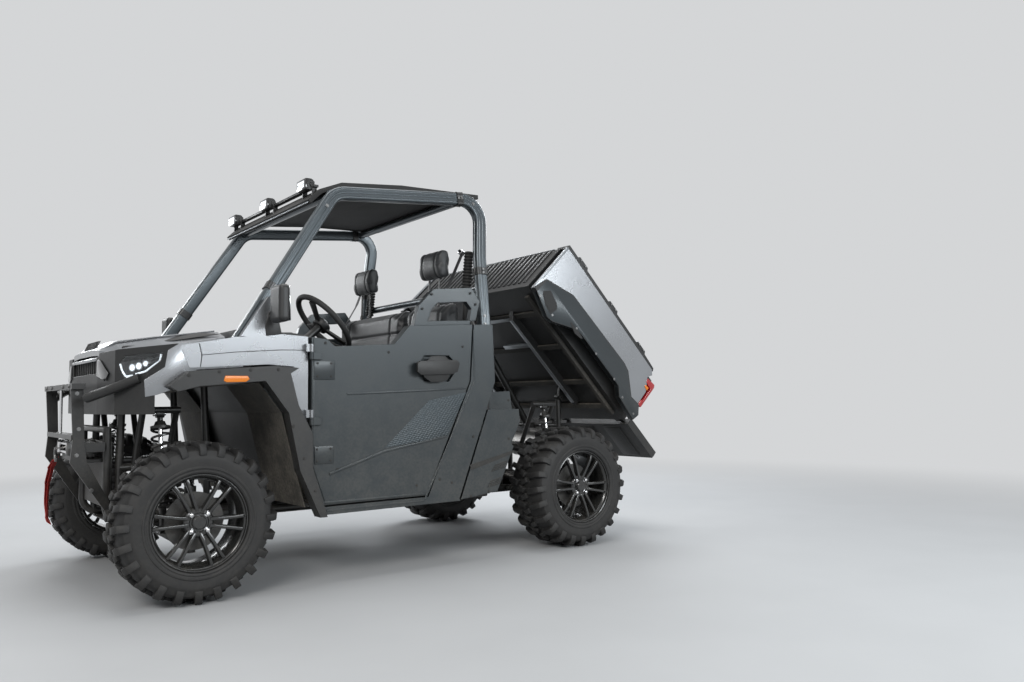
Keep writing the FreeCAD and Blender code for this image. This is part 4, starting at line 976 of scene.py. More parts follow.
# %% Clamps where the cage comes apart, with their bolts
clamps = bmesh.new()
bolts = bmesh.new()
collar = [(a * 1.13, b * 1.16) for a, b in section]
for start, end in (((700, 1861), (664, 1864)), ((567, 1500), (567, 1462)), ((1700, 1323), (1720, 1292))):
    hoop_rings(clamps, [Vector(start), Vector(end)], collar)
    middle = (Vector(start) + Vector(end)) / 2
    way = (Vector(end) - Vector(start)).normalized()
    for along in (-9, 9):
        x, z = middle.x + way.x * along, middle.y + way.y * along
        bolt_head(bolts, hoop_point(x, 27.5, z), hoop_point(x, 40, z) - hoop_point(x, 27.5, z), 5.5, 4.0)
for x, z in ((1440, 1721), (1834, 1116), (575, 1240), (575, 1196), (600, 1842)):
    bolt_head(bolts, hoop_point(x, 23, z), hoop_point(x, 40, z) - hoop_point(x, 23, z), 7.0, 5.0)
for bm in (clamps, bolts):
    mirror_all(bm)
round_edges(clamps, 1.2, 1, 50)
finish_piece("cage_clamps", clamps, "chassis", "frame_black")
finish_piece("cage_bolts", bolts, "chassis", "dark_steel")
print("cage hoops, clamps and bolts")

# %% [markdown]
# Three work lamps sit on the roof's front edge, on a bar with stepped brackets. Each has a ribbed
# housing that sheds heat, a dark bezel and a flat lit lens of small square cells.

# %% Roof lamps
POD_SPREAD = 483
housings = bmesh.new()
lenses = bmesh.new()
bezels = bmesh.new()
add_box(housings, (1447, -556, 1823), (1472, 556, 1835))
for y in (-POD_SPREAD, 0, POD_SPREAD):
    body = [(1463, 1816), (1463, 1862), (1474, 1867), (1496, 1867), (1496, 1813), (1470, 1813)]
    side_plate(housings, body, y - 50, y + 50)
    for fin in range(8):
        at_y = y - 42 + fin * 12
        side_plate(housings, [(1454, 1820), (1454, 1856), (1463, 1861), (1463, 1816)], at_y - 2, at_y + 2)
    side_plate(bezels, [(1496, 1812.5), (1496, 1867.5), (1505, 1865), (1505, 1815)], y - 51, y + 51)
    for row in range(2):
        for cell in range(4):
            at_y = y - 36 + cell * 18.5
            low = 1824 + row * 17
            side_plate(lenses, [(1505, low), (1505, low + 15), (1507.5, low + 13.5), (1507.5, low + 1.5)],
                       at_y, at_y + 16)
    for way in (-1, 1):
        foot = [(1449, 1776), (1473, 1770), (1473, 1823), (1482, 1834), (1482, 1850), (1470, 1850),
                (1449, 1830)]
        side_plate(housings, foot, y + way * 54 - 4, y + way * 54 + 4)
for bm, width in ((housings, 1.5), (bezels, 2.0), (lenses, 0.8)):
    soften(bm, width, 2)
finish_piece("roof_lamp_housings", housings, "chassis", "trim_black", ("roof_lamps",))
finish_piece("roof_lamp_bezels", bezels, "chassis", "gloss_black")
finish_piece("roof_lamp_lenses", lenses, "chassis", "lit_white")

# %% Visor edges and roof fasteners
visor = bmesh.new()
for x, z, half in ((1499, 1744, 556), (1470, 1769, 560)):
    side_plate(visor, [(x, z), (x + 7, z - 5), (x + 9, z - 1), (x + 2, z + 6)], -half, half)
round_edges(visor, 1.0, 1)
finish_piece("visor_edge", visor, "chassis", "silver_trim")
plugs = bmesh.new()
for x, z in ((1240, 1862), (950, 1888), (660, 1893)):
    for way in (-1, 1):
        bolt_head(plugs, spot(x, way * 528, z), (0.03, 0, 1), 9, 5)
finish_piece("roof_fasteners", plugs, "chassis", "rubber_matt")
print("roof lamps and visor")

# %% [markdown]
# ## Suspension
# Each corner has two wishbones of bent tube with bushed eyes, and a coil spring over a damper. The
# coil is a helix given to a curve with a round bevel, which is what a spring is: one wire.

# %% Wishbones
RAIL_Z, UPPER_RAIL_Z, KINGPIN_Y, ARM_ROOT_Y, BALL_REACH = 291.0, 525.0, 640.0, 287.3, 114.3
AXLE_MM = 325.0
AXLES = (
    # (station, which way the shock absorber stands off the axle)
    (FRONT_AXLE_MM, 1),
    (0.0, -1),
)
arms = bmesh.new()
eyes = bmesh.new()
for x, way in AXLES:
    rows = ((RAIL_Z, AXLE_MM - BALL_REACH, (-120, 120)),
            (UPPER_RAIL_Z, AXLE_MM + BALL_REACH, (-way * 57, -way * 110)))
    for inner_z, ball_z, spread in rows:
        for reach in spread:
            root = spot(x + reach, ARM_ROOT_Y, inner_z)
            ball = spot(x, KINGPIN_Y, ball_z)
            knee = root.lerp(ball, 0.35) + Vector((0, 0, 0.004))
            add_pipe(arms, [root, knee, ball], 14, 120, 20)
            ahead = Vector((0.001, 0, 0))
            add_cylinder(arms, root - ahead * 22, root + ahead * 22, 19, 28)
            add_cylinder(eyes, root - ahead * 26, root + ahead * 26, 12, 24)
        ball = spot(x, KINGPIN_Y, ball_z)
        add_cylinder(arms, ball - Vector((0, 0, 0.021)), ball + Vector((0, 0, 0.021)), 24, 32)
        bolt_head(eyes, ball + Vector((0, 0, 0.021)), (0, 0, 1), 9, 6)
    plate = [spot(x - 66, 470, 246), spot(x + 66, 470, 246), spot(x + 30, 560, 226), spot(x - 30, 560, 226)]
    add_outline(arms, plate, Vector((0, 0, 0.005)))
for bm in (arms, eyes):
    mirror_all(bm)
finish_piece("wishbone_tubes", arms, "chassis", "frame_black", ("wishbones",))
finish_piece("wishbone_bushes", eyes, "chassis", "dark_steel")

# %% Coil springs over their dampers
COIL_TURNS, COIL_RADIUS, WIRE = 8, 36.0, 5.6


def shock_line(x, way):
    return spot(x + way * 58, 470, 270), spot(x + way * 58, 385, 758.6)


coils = bmesh.new()
dampers = bmesh.new()
rods = bmesh.new()
for x, way in AXLES:
    foot, head = shock_line(x, way)
    along = (head - foot).normalized()
    side = Vector((1, 0, 0))
    out = along.cross(side)
    length = (head - foot).length / MM
    low, tall = 104.0, length - 66.0
    steps = COIL_TURNS * 20
    points = []
    for i in range(steps + 1):
        share = i / steps
        turn = share * COIL_TURNS * 2 * math.pi
        rise = low + (tall - low) * share
        round_way = side * math.cos(turn) + out * math.sin(turn)
        points.append(foot + along * (rise * MM) + round_way * (COIL_RADIUS * MM))
    add_pipe(coils, points, WIRE, 0, 12)
    body = [(16, 0), (16, 15), (90, 16), (94, 24), (94, 41), (103, 42), (103, 25), (250, 25), (254, 20),
            (254, 0)]
    cap = [(length - 66, 0), (length - 66, 40), (length - 54, 41), (length - 50, 26), (length - 34, 20),
           (length - 30, 12), (length - 16, 12), (length - 16, 0)]
    add_turned(dampers, body, foot, along, 32)
    add_turned(dampers, cap, foot, along, 32)
    for place in (foot, head):
        add_cylinder(dampers, place - Vector((0.017, 0, 0)), place + Vector((0.017, 0, 0)), 17, 28)
        add_cylinder(rods, place - Vector((0.024, 0, 0)), place + Vector((0.024, 0, 0)), 7.5, 20)
        bolt_head(rods, place + Vector((0.024, 0, 0)), (1, 0, 0), 9, 6)
    add_cylinder(rods, foot + along * 0.25, foot + along * ((length - 60) * MM), 9, 20)
    add_cylinder(dampers, foot + along * 0.20, foot + along * 0.235, 27, 32)
for bm in (coils, dampers, rods):
    mirror_all(bm)
finish_piece("coil_springs", coils, "chassis", "spring_black", ("shock_absorbers",))
finish_piece("damper_bodies", dampers, "chassis", "frame_black")
finish_piece("damper_rods", rods, "chassis", "chrome")

# %% Brake calipers with their pins
for name, x, body, replaced in (("front_left", FRONT_AXLE_MM, "knuckle_left", ()),
                                ("front_right", FRONT_AXLE_MM, "knuckle_right", ()),
                                ("rear_left", 0.0, "chassis", ()), ("rear_right", 0.0, "chassis", ())):
    caliper = bmesh.new()
    face = 658 if x else 634
    rows = [(-124, -30), (-132, 4), (-122, 36), (-96, 52), (-84, 40), (-92, 4), (-86, -30), (-98, -44)]
    side_plate(caliper, [(x + a, AXLE_MM + b) for a, b in rows], face - 30, face + 22)
    soften(caliper, 5, 3)
    for z in (-18, 26):
        add_cylinder(caliper, spot(x - 108, face - 34, AXLE_MM + z), spot(x - 108, face + 26, AXLE_MM + z),
                     9, 16)
    if name.endswith("right"):
        bmesh.ops.scale(caliper, verts=caliper.verts[:], vec=(1, -1, 1))
        bmesh.ops.reverse_faces(caliper, faces=caliper.faces[:])
    finish_piece("caliper_" + name, caliper, body, "cast_metal")
print("wishbones, springs and calipers")

# %% [markdown]
# ## Nose
# The headlamps sit in the slanted corners of the nose. Behind a clear lens each has a dark bowl, two
# lit bars that follow the lens's lower edge, a cluster of two projectors and a dark brow above. All
# of it is drawn on the corner's own plane, from a place at its inner end.

# %% Lamp plane
LAMP_START = Vector((2318.0, 500.0))
LAMP_END = Vector((2140.0, 738.0))
LAMP_ALONG = (LAMP_END - LAMP_START).normalized()
LAMP_OUT = Vector((LAMP_ALONG.y, -LAMP_ALONG.x))
LENS_EDGE = ((18, 962), (45, 1000), (150, 1008), (232, 1012), (222, 978), (150, 930), (50, 908))


def lamp_spot(s, out, z):
    flat = LAMP_START + LAMP_ALONG * s + LAMP_OUT * out
    return spot(flat.x, flat.y, z)


def lamp_plate(bm, outline, low, high):
    return side_plate(bm, outline, low, high, lamp_spot)


def shrunk(outline, share):
    s0 = sum(s for s, z in outline) / len(outline)
    z0 = sum(z for s, z in outline) / len(outline)
    return [(s0 + (s - s0) * share, z0 + (z - z0) * share) for s, z in outline]


# %% Headlamps
bowls, bars, projectors, rings, lens, brows = (bmesh.new() for i in range(6))
lamp_plate(bowls, shrunk(LENS_EDGE, 0.985), -13, -9)
add_pipe(bars, [lamp_spot(s, -5, z) for s, z in ((24, 968), (34, 940), (52, 917), (84, 921))], 4.2, 12, 12)
add_pipe(bars, [lamp_spot(s, -5, z) for s, z in ((100, 926), (148, 937), (214, 978), (221, 1004))], 4.2, 14,
         12)
for s, z, r in ((84, 952, 13), (116, 958, 13), (148, 967, 10)):
    add_cylinder(rings, lamp_spot(s, -9, z), lamp_spot(s, -1.5, z), r + 3, 32)
    add_cylinder(projectors, lamp_spot(s, -2.0, z), lamp_spot(s, -0.6, z), r, 32, r * 0.85)
brow = [(26, 972), (47, 996), (150, 1004), (226, 1007), (222, 996), (150, 990), (60, 978)]
lamp_plate(brows, brow, -9, -2)
for i in range(9):
    s = 60 + i * 18
    lamp_plate(brows, [(s, 979 + i * 1.3), (s + 5, 979 + i * 1.3), (s + 7, 995), (s + 2, 995)], -2, -0.8)
lamp_plate(lens, shrunk(LENS_EDGE, 0.985), 0.2, 2.6)
for bm, width in ((brows, 1.5), (lens, 0.9)):
    soften(bm, width, 2)
for bm in (bowls, bars, projectors, rings, lens, brows):
    mirror_all(bm)
finish_piece("headlamp_bowls", bowls, "chassis", "gloss_black", ("headlamps",))
finish_piece("headlamp_bars", bars, "chassis", "lit_white")
finish_piece("headlamp_projectors", projectors, "chassis", "lit_white")
finish_piece("headlamp_rings", rings, "chassis", "chrome")
finish_piece("headlamp_brows", brows, "chassis", "trim_black")
finish_piece("headlamp_lenses", lens, "chassis", "clear_lens")
print("headlamps")

# %% [markdown]
# The hood is one painted shell. A dark wedge runs back along each shoulder, a sharp fold stands over
# it, and the scoop in the middle has a dark mesh mouth. Below it a bright band tops the grille.

# %% Hood trims
wedges, folds, mouths = bmesh.new(), bmesh.new(), bmesh.new()
wedge = [spot(2262, 352, 1044), spot(2240, 322, 1068), spot(1960, 452, 1113), spot(1900, 520, 1105),
         spot(2080, 470, 1074)]
add_outline(wedges, wedge, Vector((0, 0.0008, 0.0028)))
fold = [spot(2318, 262, 1040), spot(2278, 306, 1073), spot(2128, 396, 1094), spot(1900, 458, 1124)]
add_pipe(folds, fold, 4.0, 80, 12)
for bm in (wedges, folds):
    mirror_all(bm)
mouth = [spot(2319, -118, 1044), spot(2319, 118, 1044), spot(2300, 132, 1088), spot(2300, -132, 1088)]
add_outline(mouths, mouth, Vector((0.003, 0, 0.001)))
for i in range(11):
    y = -105 + i * 21
    add_cylinder(mouths, spot(2324, y, 1046), spot(2304, y * 1.1, 1088), 2.2, 8)
round_edges(wedges, 0.9, 2)
finish_piece("hood_wedges", wedges, "hood", "trim_black")
finish_piece("hood_folds", folds, "hood", "body_silver")
finish_piece("scoop_mouth", mouths, "hood", "trim_black")

# %% Nose band, cheeks and fascia fasteners
band, cheeks, pins = bmesh.new(), bmesh.new(), bmesh.new()
side_plate(band, [(2332, 992), (2345, 990), (2347, 1002), (2340, 1007), (2332, 1007)], -262, 262)
round_edges(band, 2, 2)
finish_piece("nose_band", band, "chassis", "body_silver")
for way in (-1, 1):
    cheek = [spot(2342, way * 284, 996), spot(2338, way * 330, 990), spot(2329, way * 440, 930),
             spot(2333, way * 400, 900), spot(2343, way * 284, 925)]
    add_outline(cheeks, cheek if way > 0 else cheek[::-1], Vector((0.003, 0, 0)))
    for x, y, z in ((2434, 300, 846), (2434, 160, 846), (2420, 540, 850), (2240, 650, 918)):
        bolt_head(pins, spot(x - 12, way * y, z), (0.9, 0, 0.4), 7, 3)
soften(cheeks, 1.2, 2)
finish_piece("nose_cheeks", cheeks, "chassis", "gloss_black")
finish_piece("fascia_fasteners", pins, "chassis", "rubber_matt")

# %% Silver cheeks and the arms under the headlamps
# The silver wraps down behind each headlamp, and a thick black arm closes it underneath.
CHEEK = [(2262, 897), (2184, 949), (2173, 1017), (2127, 1047), (1895, 1067), (1868, 953), (2058, 939),
         (2136, 865), (2213, 838), (2257, 830)]
sides, arms = bmesh.new(), bmesh.new()
for way in (-1, 1):
    low, high = sorted((way * 736, way * 740))
    outline = [(x, z) for x, z in CHEEK]
    side_plate(sides, outline, low, high)
    add_pipe(arms, [spot(2402, way * 400, 830), spot(2340, way * 520, 862),
                    spot(2244, way * 600, 909)], 20, 60, 24)
soften(sides, 1.5, 2)
finish_piece("silver_cheeks", sides, "chassis", "body_silver")
finish_piece("nose_arms", arms, "chassis", "trim_black")

# %% [markdown]
# The bumper carries a winch between its posts: a drum wound with steel rope, a roller fairlead in
# front of it and a hook with a pull strap of red webbing. The strap is a flat band, so it is drawn
# directly as one, with its stitched loop round the hook.

# %% Winch rope, fairlead and hook
rope, rollers, hook = bmesh.new(), bmesh.new(), bmesh.new()
WINCH = (2352, 606)
turns = []
for i in range(15 * 24):
    angle = 2 * math.pi * i / 24
    turns.append(spot(WINCH[0] + math.cos(angle) * 39, -84 + i * 168 / 360,
                      WINCH[1] + math.sin(angle) * 39))
add_pipe(rope, turns, 4.2, 0, 8)
add_pipe(rope, [spot(2352, 20, 645), spot(2392, 10, 622), spot(2424, 6, 611), spot(2446, 4, 611)], 4.0, 40,
         10)
for z in (592, 629):
    add_cylinder(rollers, spot(2410, -92, z), spot(2410, 92, z), 8, 24)
for y in (-100, 100):
    add_cylinder(rollers, spot(2418, y, 588), spot(2418, y, 634), 8, 24)
for way in (-1, 1):
    side_plate(hook, [(2400, 580), (2400, 642), (2424, 642), (2428, 600), (2424, 580)], way * 110,
               way * 116)
    add_cylinder(hook, spot(2340, way * 120, 606), spot(2340, way * 160, 606), 40, 6)
    for a in range(6):
        turn = math.radians(60 * a)
        bolt_head(hook, spot(2340 + math.cos(turn) * 31, way * 160, 606 + math.sin(turn) * 31), (0, way, 0),
                  5, 4)
soften(hook, 1.4, 2)
add_pipe(hook, [spot(2446, 4, 611), spot(2446, -30, 605), spot(2444, -48, 580), spot(2444, -34, 556),
                spot(2444, -12, 552), spot(2444, -2, 568)], 6.5, 18, 12)
finish_piece("winch_rope", rope, "chassis", "bare_steel")
finish_piece("fairlead_rollers", rollers, "chassis", "chrome")
finish_piece("winch_plates_and_hook", hook, "chassis", "dark_steel")


def webbing(bm, line, wide, thick, across):
    """A flat band along places in metres, its width turned to one direction."""
    smooth = rounded_line(line, 40, 8)
    rings = []
    for i, here in enumerate(smooth):
        way = (smooth[min(i + 1, len(smooth) - 1)] - smooth[max(i - 1, 0)]).normalized()
        side = (across - way * across.dot(way)).normalized()
        face = way.cross(side)
        half, deep = wide * MM / 2, thick * MM / 2
        corners = ((-half, -deep), (half, -deep), (half, deep), (-half, deep))
        rings.append([bm.verts.new(here + side * a + face * b) for a, b in corners])
    loops = [[bm.edges.new((ring[i], ring[(i + 1) % 4])) for i in range(4)] for ring in rings]
    for one, two in zip(loops, loops[1:]):
        bmesh.ops.bridge_loops(bm, edges=one + two)
    bm.faces.new(rings[0][::-1])
    bm.faces.new(rings[-1])
    return smooth


strap = bmesh.new()
across = Vector((0.5, 1, 0.1))
webbing(strap, [spot(2444, -40, 562), spot(2447, -150, 520), spot(2447, -246, 440), spot(2447, -262, 350),
                spot(2446, -205, 282), spot(2446, -150, 262)], 26, 2.4, across)
webbing(strap, [spot(2441, -40, 562), spot(2438, -140, 516), spot(2438, -236, 436), spot(2439, -256, 350),
                spot(2446, -203, 280), spot(2446, -160, 264)], 26, 2.4, across)
finish_piece("pull_strap", strap, "chassis", "red_webbing")

# %% Bumper bolts and the bright brace
brace, heads = bmesh.new(), bmesh.new()
add_cylinder(brace, spot(2432, 0, 674), spot(2432, 0, 872), 6.5, 20)
for y in (-280, -140, 140, 280):
    bolt_head(heads, spot(2449, y, 880), (1, 0, 0), 7, 5)
for way in (-1, 1):
    for x, z in ((2424, 850), (2414, 700), (2420, 590), (2360, 440)):
        bolt_head(heads, spot(x, way * 312.5, z), (0, way, 0), 7, 5)
finish_piece("bumper_brace", brace, "chassis", "chrome")
finish_piece("bumper_bolts", heads, "chassis", "dark_steel")
print("nose, bumper and winch")

# %% [markdown]
# ## Fenders, doors and side covers
# The flares carry an amber marker near the nose. Each door has a textured field of small scales
# between two folds, covers over its hinges and a row of fasteners. The field is a thin plate with a
# bump of small cells, fine enough to need no geometry.

# %% Fender markers and seams
markers, seams, fins = bmesh.new(), bmesh.new(), bmesh.new()
side_plate(markers, [(1972, 893), (1966, 914), (1872, 914), (1864, 900), (1880, 889), (1960, 887)], 792,
           809.5)
soften(markers, 2.5, 3)
for line in (((2052, 1049), (2040, 1000), (2046, 952)),
             ((2044, 1000), (1900, 1016), (1700, 1030), (1578, 1032))):
    points = [spot(x, 743, z) for x, z in line]
    add_pipe(seams, points, 1.6, 20, 8)
for x, z in ((2110, 914), (1990, 930), (1860, 938), (1740, 942), (1672, 700), (1622, 560), (1570, 420)):
    bolt_head(fins, spot(x, 806.5, z), (0, 1, 0), 6, 2.5)
for bm in (markers, seams, fins):
    mirror_all(bm)
finish_piece("fender_markers", markers, "chassis", "amber_lens")
finish_piece("fender_seams", seams, "chassis", "rubber_matt")
finish_piece("flare_fasteners", fins, "chassis", "rubber_matt")

# %% Scale finish for the doors' textured field


def scale_finish():
    material = finish("scaled_slate", (0.050, 0.064, 0.073), 0.42, metallic=0.3, mottle=0.12, dust=0.2,
                      wear_and_highlight=0.3, rubbed_and_highlit=(0.12, 0.14, 0.15))
    tree = material.node_tree
    shader = tree.nodes["Principled BSDF"]
    place = tree.nodes.new("ShaderNodeTexCoord")
    turn = tree.nodes.new("ShaderNodeMapping")
    turn.inputs["Scale"].default_value = (62.0, 0.0, 110.0)
    turn.inputs["Rotation"].default_value = (0.0, math.radians(24), 0.0)
    cells = add_node(tree, "ShaderNodeTexVoronoi", feature="F1", Randomness=0.25)
    cells.inputs["Scale"].default_value = 1.0
    bump = add_node(tree, "ShaderNodeBump", Strength=0.9, Distance=0.004)
    tree.links.new(place.outputs["Object"], turn.inputs["Vector"])
    tree.links.new(turn.outputs["Vector"], cells.inputs["Vector"])
    tree.links.new(cells.outputs["Distance"], bump.inputs["Height"])
    old = shader.inputs["Normal"].links[0].from_socket
    tree.links.new(old, bump.inputs["Normal"])
    tree.links.new(bump.outputs["Normal"], shader.inputs["Normal"])
    return material


FINISHES["scaled_slate"] = scale_finish()

# %% Door details
DOOR_FACE = 752
for name, way in (("left", 1), ("right", -1)):
    panel, covers, edges, dark = (bmesh.new() for i in range(4))
    body = "door_" + name
    field = [(1203, 585), (960, 803), (740, 843), (759, 809), (855, 626)]
    side_plate(panel, field, DOOR_FACE - 2, DOOR_FACE + 1.6)
    for low_z, high_z, x0, x1 in ((901, 988, 1456, 1556), (528, 607, 1460, 1552)):
        side_plate(covers, [(x0, low_z), (x1, low_z), (x1, high_z), (x0 + 8, high_z), (x0, high_z - 8)],
                   DOOR_FACE - 1, DOOR_FACE + 4)
    ridge = [(1479, 475), (1202, 564), (862, 622), (864, 632), (1204, 576), (1481, 487)]
    side_plate(edges, ridge, DOOR_FACE - 1, DOOR_FACE + 5)
    upper = [(1392, 832), (1160, 840), (949, 848), (738, 858), (740, 866), (1160, 850), (1397, 840)]
    side_plate(edges, upper, DOOR_FACE - 1, DOOR_FACE + 3)
    lower = [(1513, 352), (984, 352), (980, 362), (1512, 362)]
    side_plate(edges, lower, DOOR_FACE - 1, DOOR_FACE + 2.5)
    frame_line = [(1559, 1086), (1559, 520), (1500, 352), (1494, 352), (1553, 521), (1553, 1085)]
    side_plate(edges, frame_line, DOOR_FACE - 1, DOOR_FACE + 2)
    for bm, width in ((panel, 1.2), (covers, 1.8), (edges, 1.6)):
        soften(bm, width, 2)
    for x, z in ((1500, 1066), (1180, 1032), (760, 1070), (1440, 500), (900, 420), (1030, 400)):
        bolt_head(dark, spot(x, DOOR_FACE, z), (0, 1, 0), 5.5, 2.2)
    for x, z in ((1474, 916), (1540, 916), (1474, 974), (1540, 974), (1476, 542), (1540, 542), (1476, 594),
                 (1540, 594)):
        bolt_head(dark, spot(x, DOOR_FACE + 4, z), (0, 1, 0), 4.2, 2.0)
    for x, z in ((985, 1250), (930, 1325), (700, 1345), (668, 1290)):
        bolt_head(dark, spot(x, DOOR_FACE - 14, z), (0, 1, 0), 5, 2.2)
    if way < 0:
        for bm in (panel, covers, edges, dark):
            bmesh.ops.scale(bm, verts=bm.verts[:], vec=(1, -1, 1))
            bmesh.ops.reverse_faces(bm, faces=bm.faces[:])
    finish_piece("door_scales_" + name, panel, body, "scaled_slate")
    finish_piece("door_hinge_covers_" + name, covers, body, "body_slate")
    finish_piece("door_folds_" + name, edges, body, "body_slate")
    finish_piece("door_fasteners_" + name, dark, body, "rubber_matt")

# %% Pillar cover, vents and sill strip
slots, strips, inner = bmesh.new(), bmesh.new(), bmesh.new()
for outline in ([(560, 471), (482, 490), (502, 452), (585, 437)],
                [(590, 391), (522, 408), (533, 372), (610, 358)]):
    side_plate(slots, outline, 741, 743.2)
    (x0, z0), (x1, z1) = outline[0], outline[1]
    for i in range(1, 4):
        drop = i * (outline[2][1] - z1) / 4
        side_plate(strips, [(x0 + 4 + i * 4, z0 + drop), (x1 + 4 + i * 4, z1 + drop),
                            (x1 + 5 + i * 4, z1 + drop - 3), (x0 + 5 + i * 4, z0 + drop - 3)], 743, 745)
side_plate(inner, [(588, 733), (482, 705), (436, 622), (640, 600)], 727.5, 731)
side_plate(slots, [(717, 479), (441, 539), (456, 520), (708, 452)], 741.5, 743.5)
side_plate(strips, [(1495, 316), (990, 320), (988, 330), (1492, 327)], 751, 754)
side_plate(strips, [(690, 1157), (682, 900), (982, 328), (990, 331), (692, 900), (697, 1157)], 751, 754.5)
for bm, width in ((strips, 0.8), (inner, 1.0)):
    soften(bm, width, 1)
studs = bmesh.new()
STUDS = ((600, 742, 1160), (590, 742, 920), (700, 752, 620), (830, 752, 400), (470, 742, 800),
         (470, 742, 600), (600, 742, 340), (710, 742, 325), (1100, 742, 318), (1400, 742, 316))
for place in STUDS:
    bolt_head(studs, spot(*place), (0, 1, 0), 5.5, 2.4)
for bm in (slots, strips, inner, studs):
    mirror_all(bm)
finish_piece("side_slots", slots, "chassis", "rubber_matt")
finish_piece("side_strips", strips, "chassis", "body_slate")
finish_piece("recess_panels", inner, "chassis", "body_slate")
finish_piece("side_studs", studs, "chassis", "rubber_matt")

# %% Mirror glass and mirror bases
glass, bases = bmesh.new(), bmesh.new()
face = [spot(1721, 784, 1146), spot(1721, 890, 1146), spot(1727, 887, 1298), spot(1727, 794, 1298)]
add_outline(glass, face, Vector((-0.0025, 0, 0)))
side_plate(bases, [(1770, 1088), (1700, 1098), (1712, 1150), (1738, 1200), (1760, 1196), (1776, 1130)], 738,
           746)
add_pipe(bases, [spot(1748, 742, 1170), spot(1748, 775, 1178), spot(1748, 800, 1188)], 12, 12, 16)
soften(bases, 3, 2)
soften(glass, 1.2, 2)
for bm in (glass, bases):
    mirror_all(bm)
finish_piece("mirror_faces", glass, "chassis", "mirror_glass")
finish_piece("mirror_bases", bases, "chassis", "trim_black")
print("doors, side covers and mirrors")

# %% Door handles
# A dark bar stands in front of an eight-sided pocket.
HANDLE_BAR = [(1045, 982), (1028, 992), (822, 1001), (804, 986), (817, 942), (846, 931), (1023, 925),
              (1045, 939)]
HANDLE_POCKET = [(1001, 978), (956, 1018), (881, 1020), (835, 986), (864, 907), (894, 892), (962, 892),
                 (1001, 916)]
for side, way in (("left", 1), ("right", -1)):
    handle = bmesh.new()
    low, high = sorted((way * 774, way * 776.5))
    side_plate(handle, HANDLE_POCKET, low, high)
    low, high = sorted((way * 776, way * 792))
    side_plate(handle, HANDLE_BAR, low, high)
    soften(handle, 2.5, 2)
    finish_piece("handle_bar_" + side, handle, "door_" + side, "trim_black")

# %% [markdown]
# ## Cab
# Two cushions and two backs make the driver's seat and the wider passenger's bench. Each is a padded
# cover over foam: it crowns between its seams and pulls in at them. The pad starts as a low bevelled
# slab, is remeshed, swells a little under cloth pressure, and then gets its sewn channels,
# because a remesh would smooth those away.

# %% Pad maker
PAD_VOXEL = 0.006
PAD_CAP = 0.014
PAD_PRESSURE = 4.0
PAD_FRAMES = 20
CHANNEL_REACH = 2.5


def pad_slab(name, outline, y0, y1, bevel):
    """A closed slab from an (x, z) outline, bevelled all round, as an object to be padded."""
    bm = bmesh.new()
    side_plate(bm, outline, y0, y1)
    soften(bm, bevel, 4, 20)
    mesh = bpy.data.meshes.new(name)
    bm.to_mesh(mesh)
    bm.free()
    pad = bpy.data.objects.new(name, mesh)
    scene.collection.objects.link(pad)
    return pad


def swell(pad):
    """Remesh the slab and let cloth pressure crown it, with every point's move capped."""
    bpy.context.view_layer.objects.active = pad
    remesh = pad.modifiers.new("remesh", "REMESH")
    remesh.mode = "VOXEL"
    remesh.voxel_size = PAD_VOXEL
    bpy.context.view_layer.update()
    shape = bpy.data.meshes.new_from_object(pad.evaluated_get(bpy.context.evaluated_depsgraph_get()))
    pad.modifiers.clear()
    pad.data = shape
    start = [v.co.copy() for v in shape.vertices]
    cloth = pad.modifiers.new("cloth", "CLOTH")
    cloth.settings.use_pressure = True
    cloth.settings.uniform_pressure_force = PAD_PRESSURE
    cloth.settings.effector_weights.gravity = 0.0
    for number in range(1, PAD_FRAMES + 1):
        scene.frame_set(number)
    bpy.context.view_layer.update()
    swollen = bpy.data.meshes.new_from_object(pad.evaluated_get(bpy.context.evaluated_depsgraph_get()))
    pad.modifiers.clear()
    for vertex, old in zip(swollen.vertices, start):
        move = vertex.co - old
        if move.length > PAD_CAP:
            vertex.co = old + move.normalized() * PAD_CAP
    pad.data = swollen
    scene.frame_set(1)


def sew(pad, channels, deep=0.007, wide=0.009):
    """Press sewn channels into the pad. A channel is a plane: a place, and the way it faces."""
    planes = [(place, Vector(way).normalized()) for place, way in channels]
    normals = [v.normal.copy() for v in pad.data.vertices]
    for vertex, normal in zip(pad.data.vertices, normals):
        for place, way in planes:
            off = abs((vertex.co - place).dot(way))
            if off < wide * CHANNEL_REACH:
                vertex.co -= normal * (deep * math.exp(-(off / wide) ** 2))


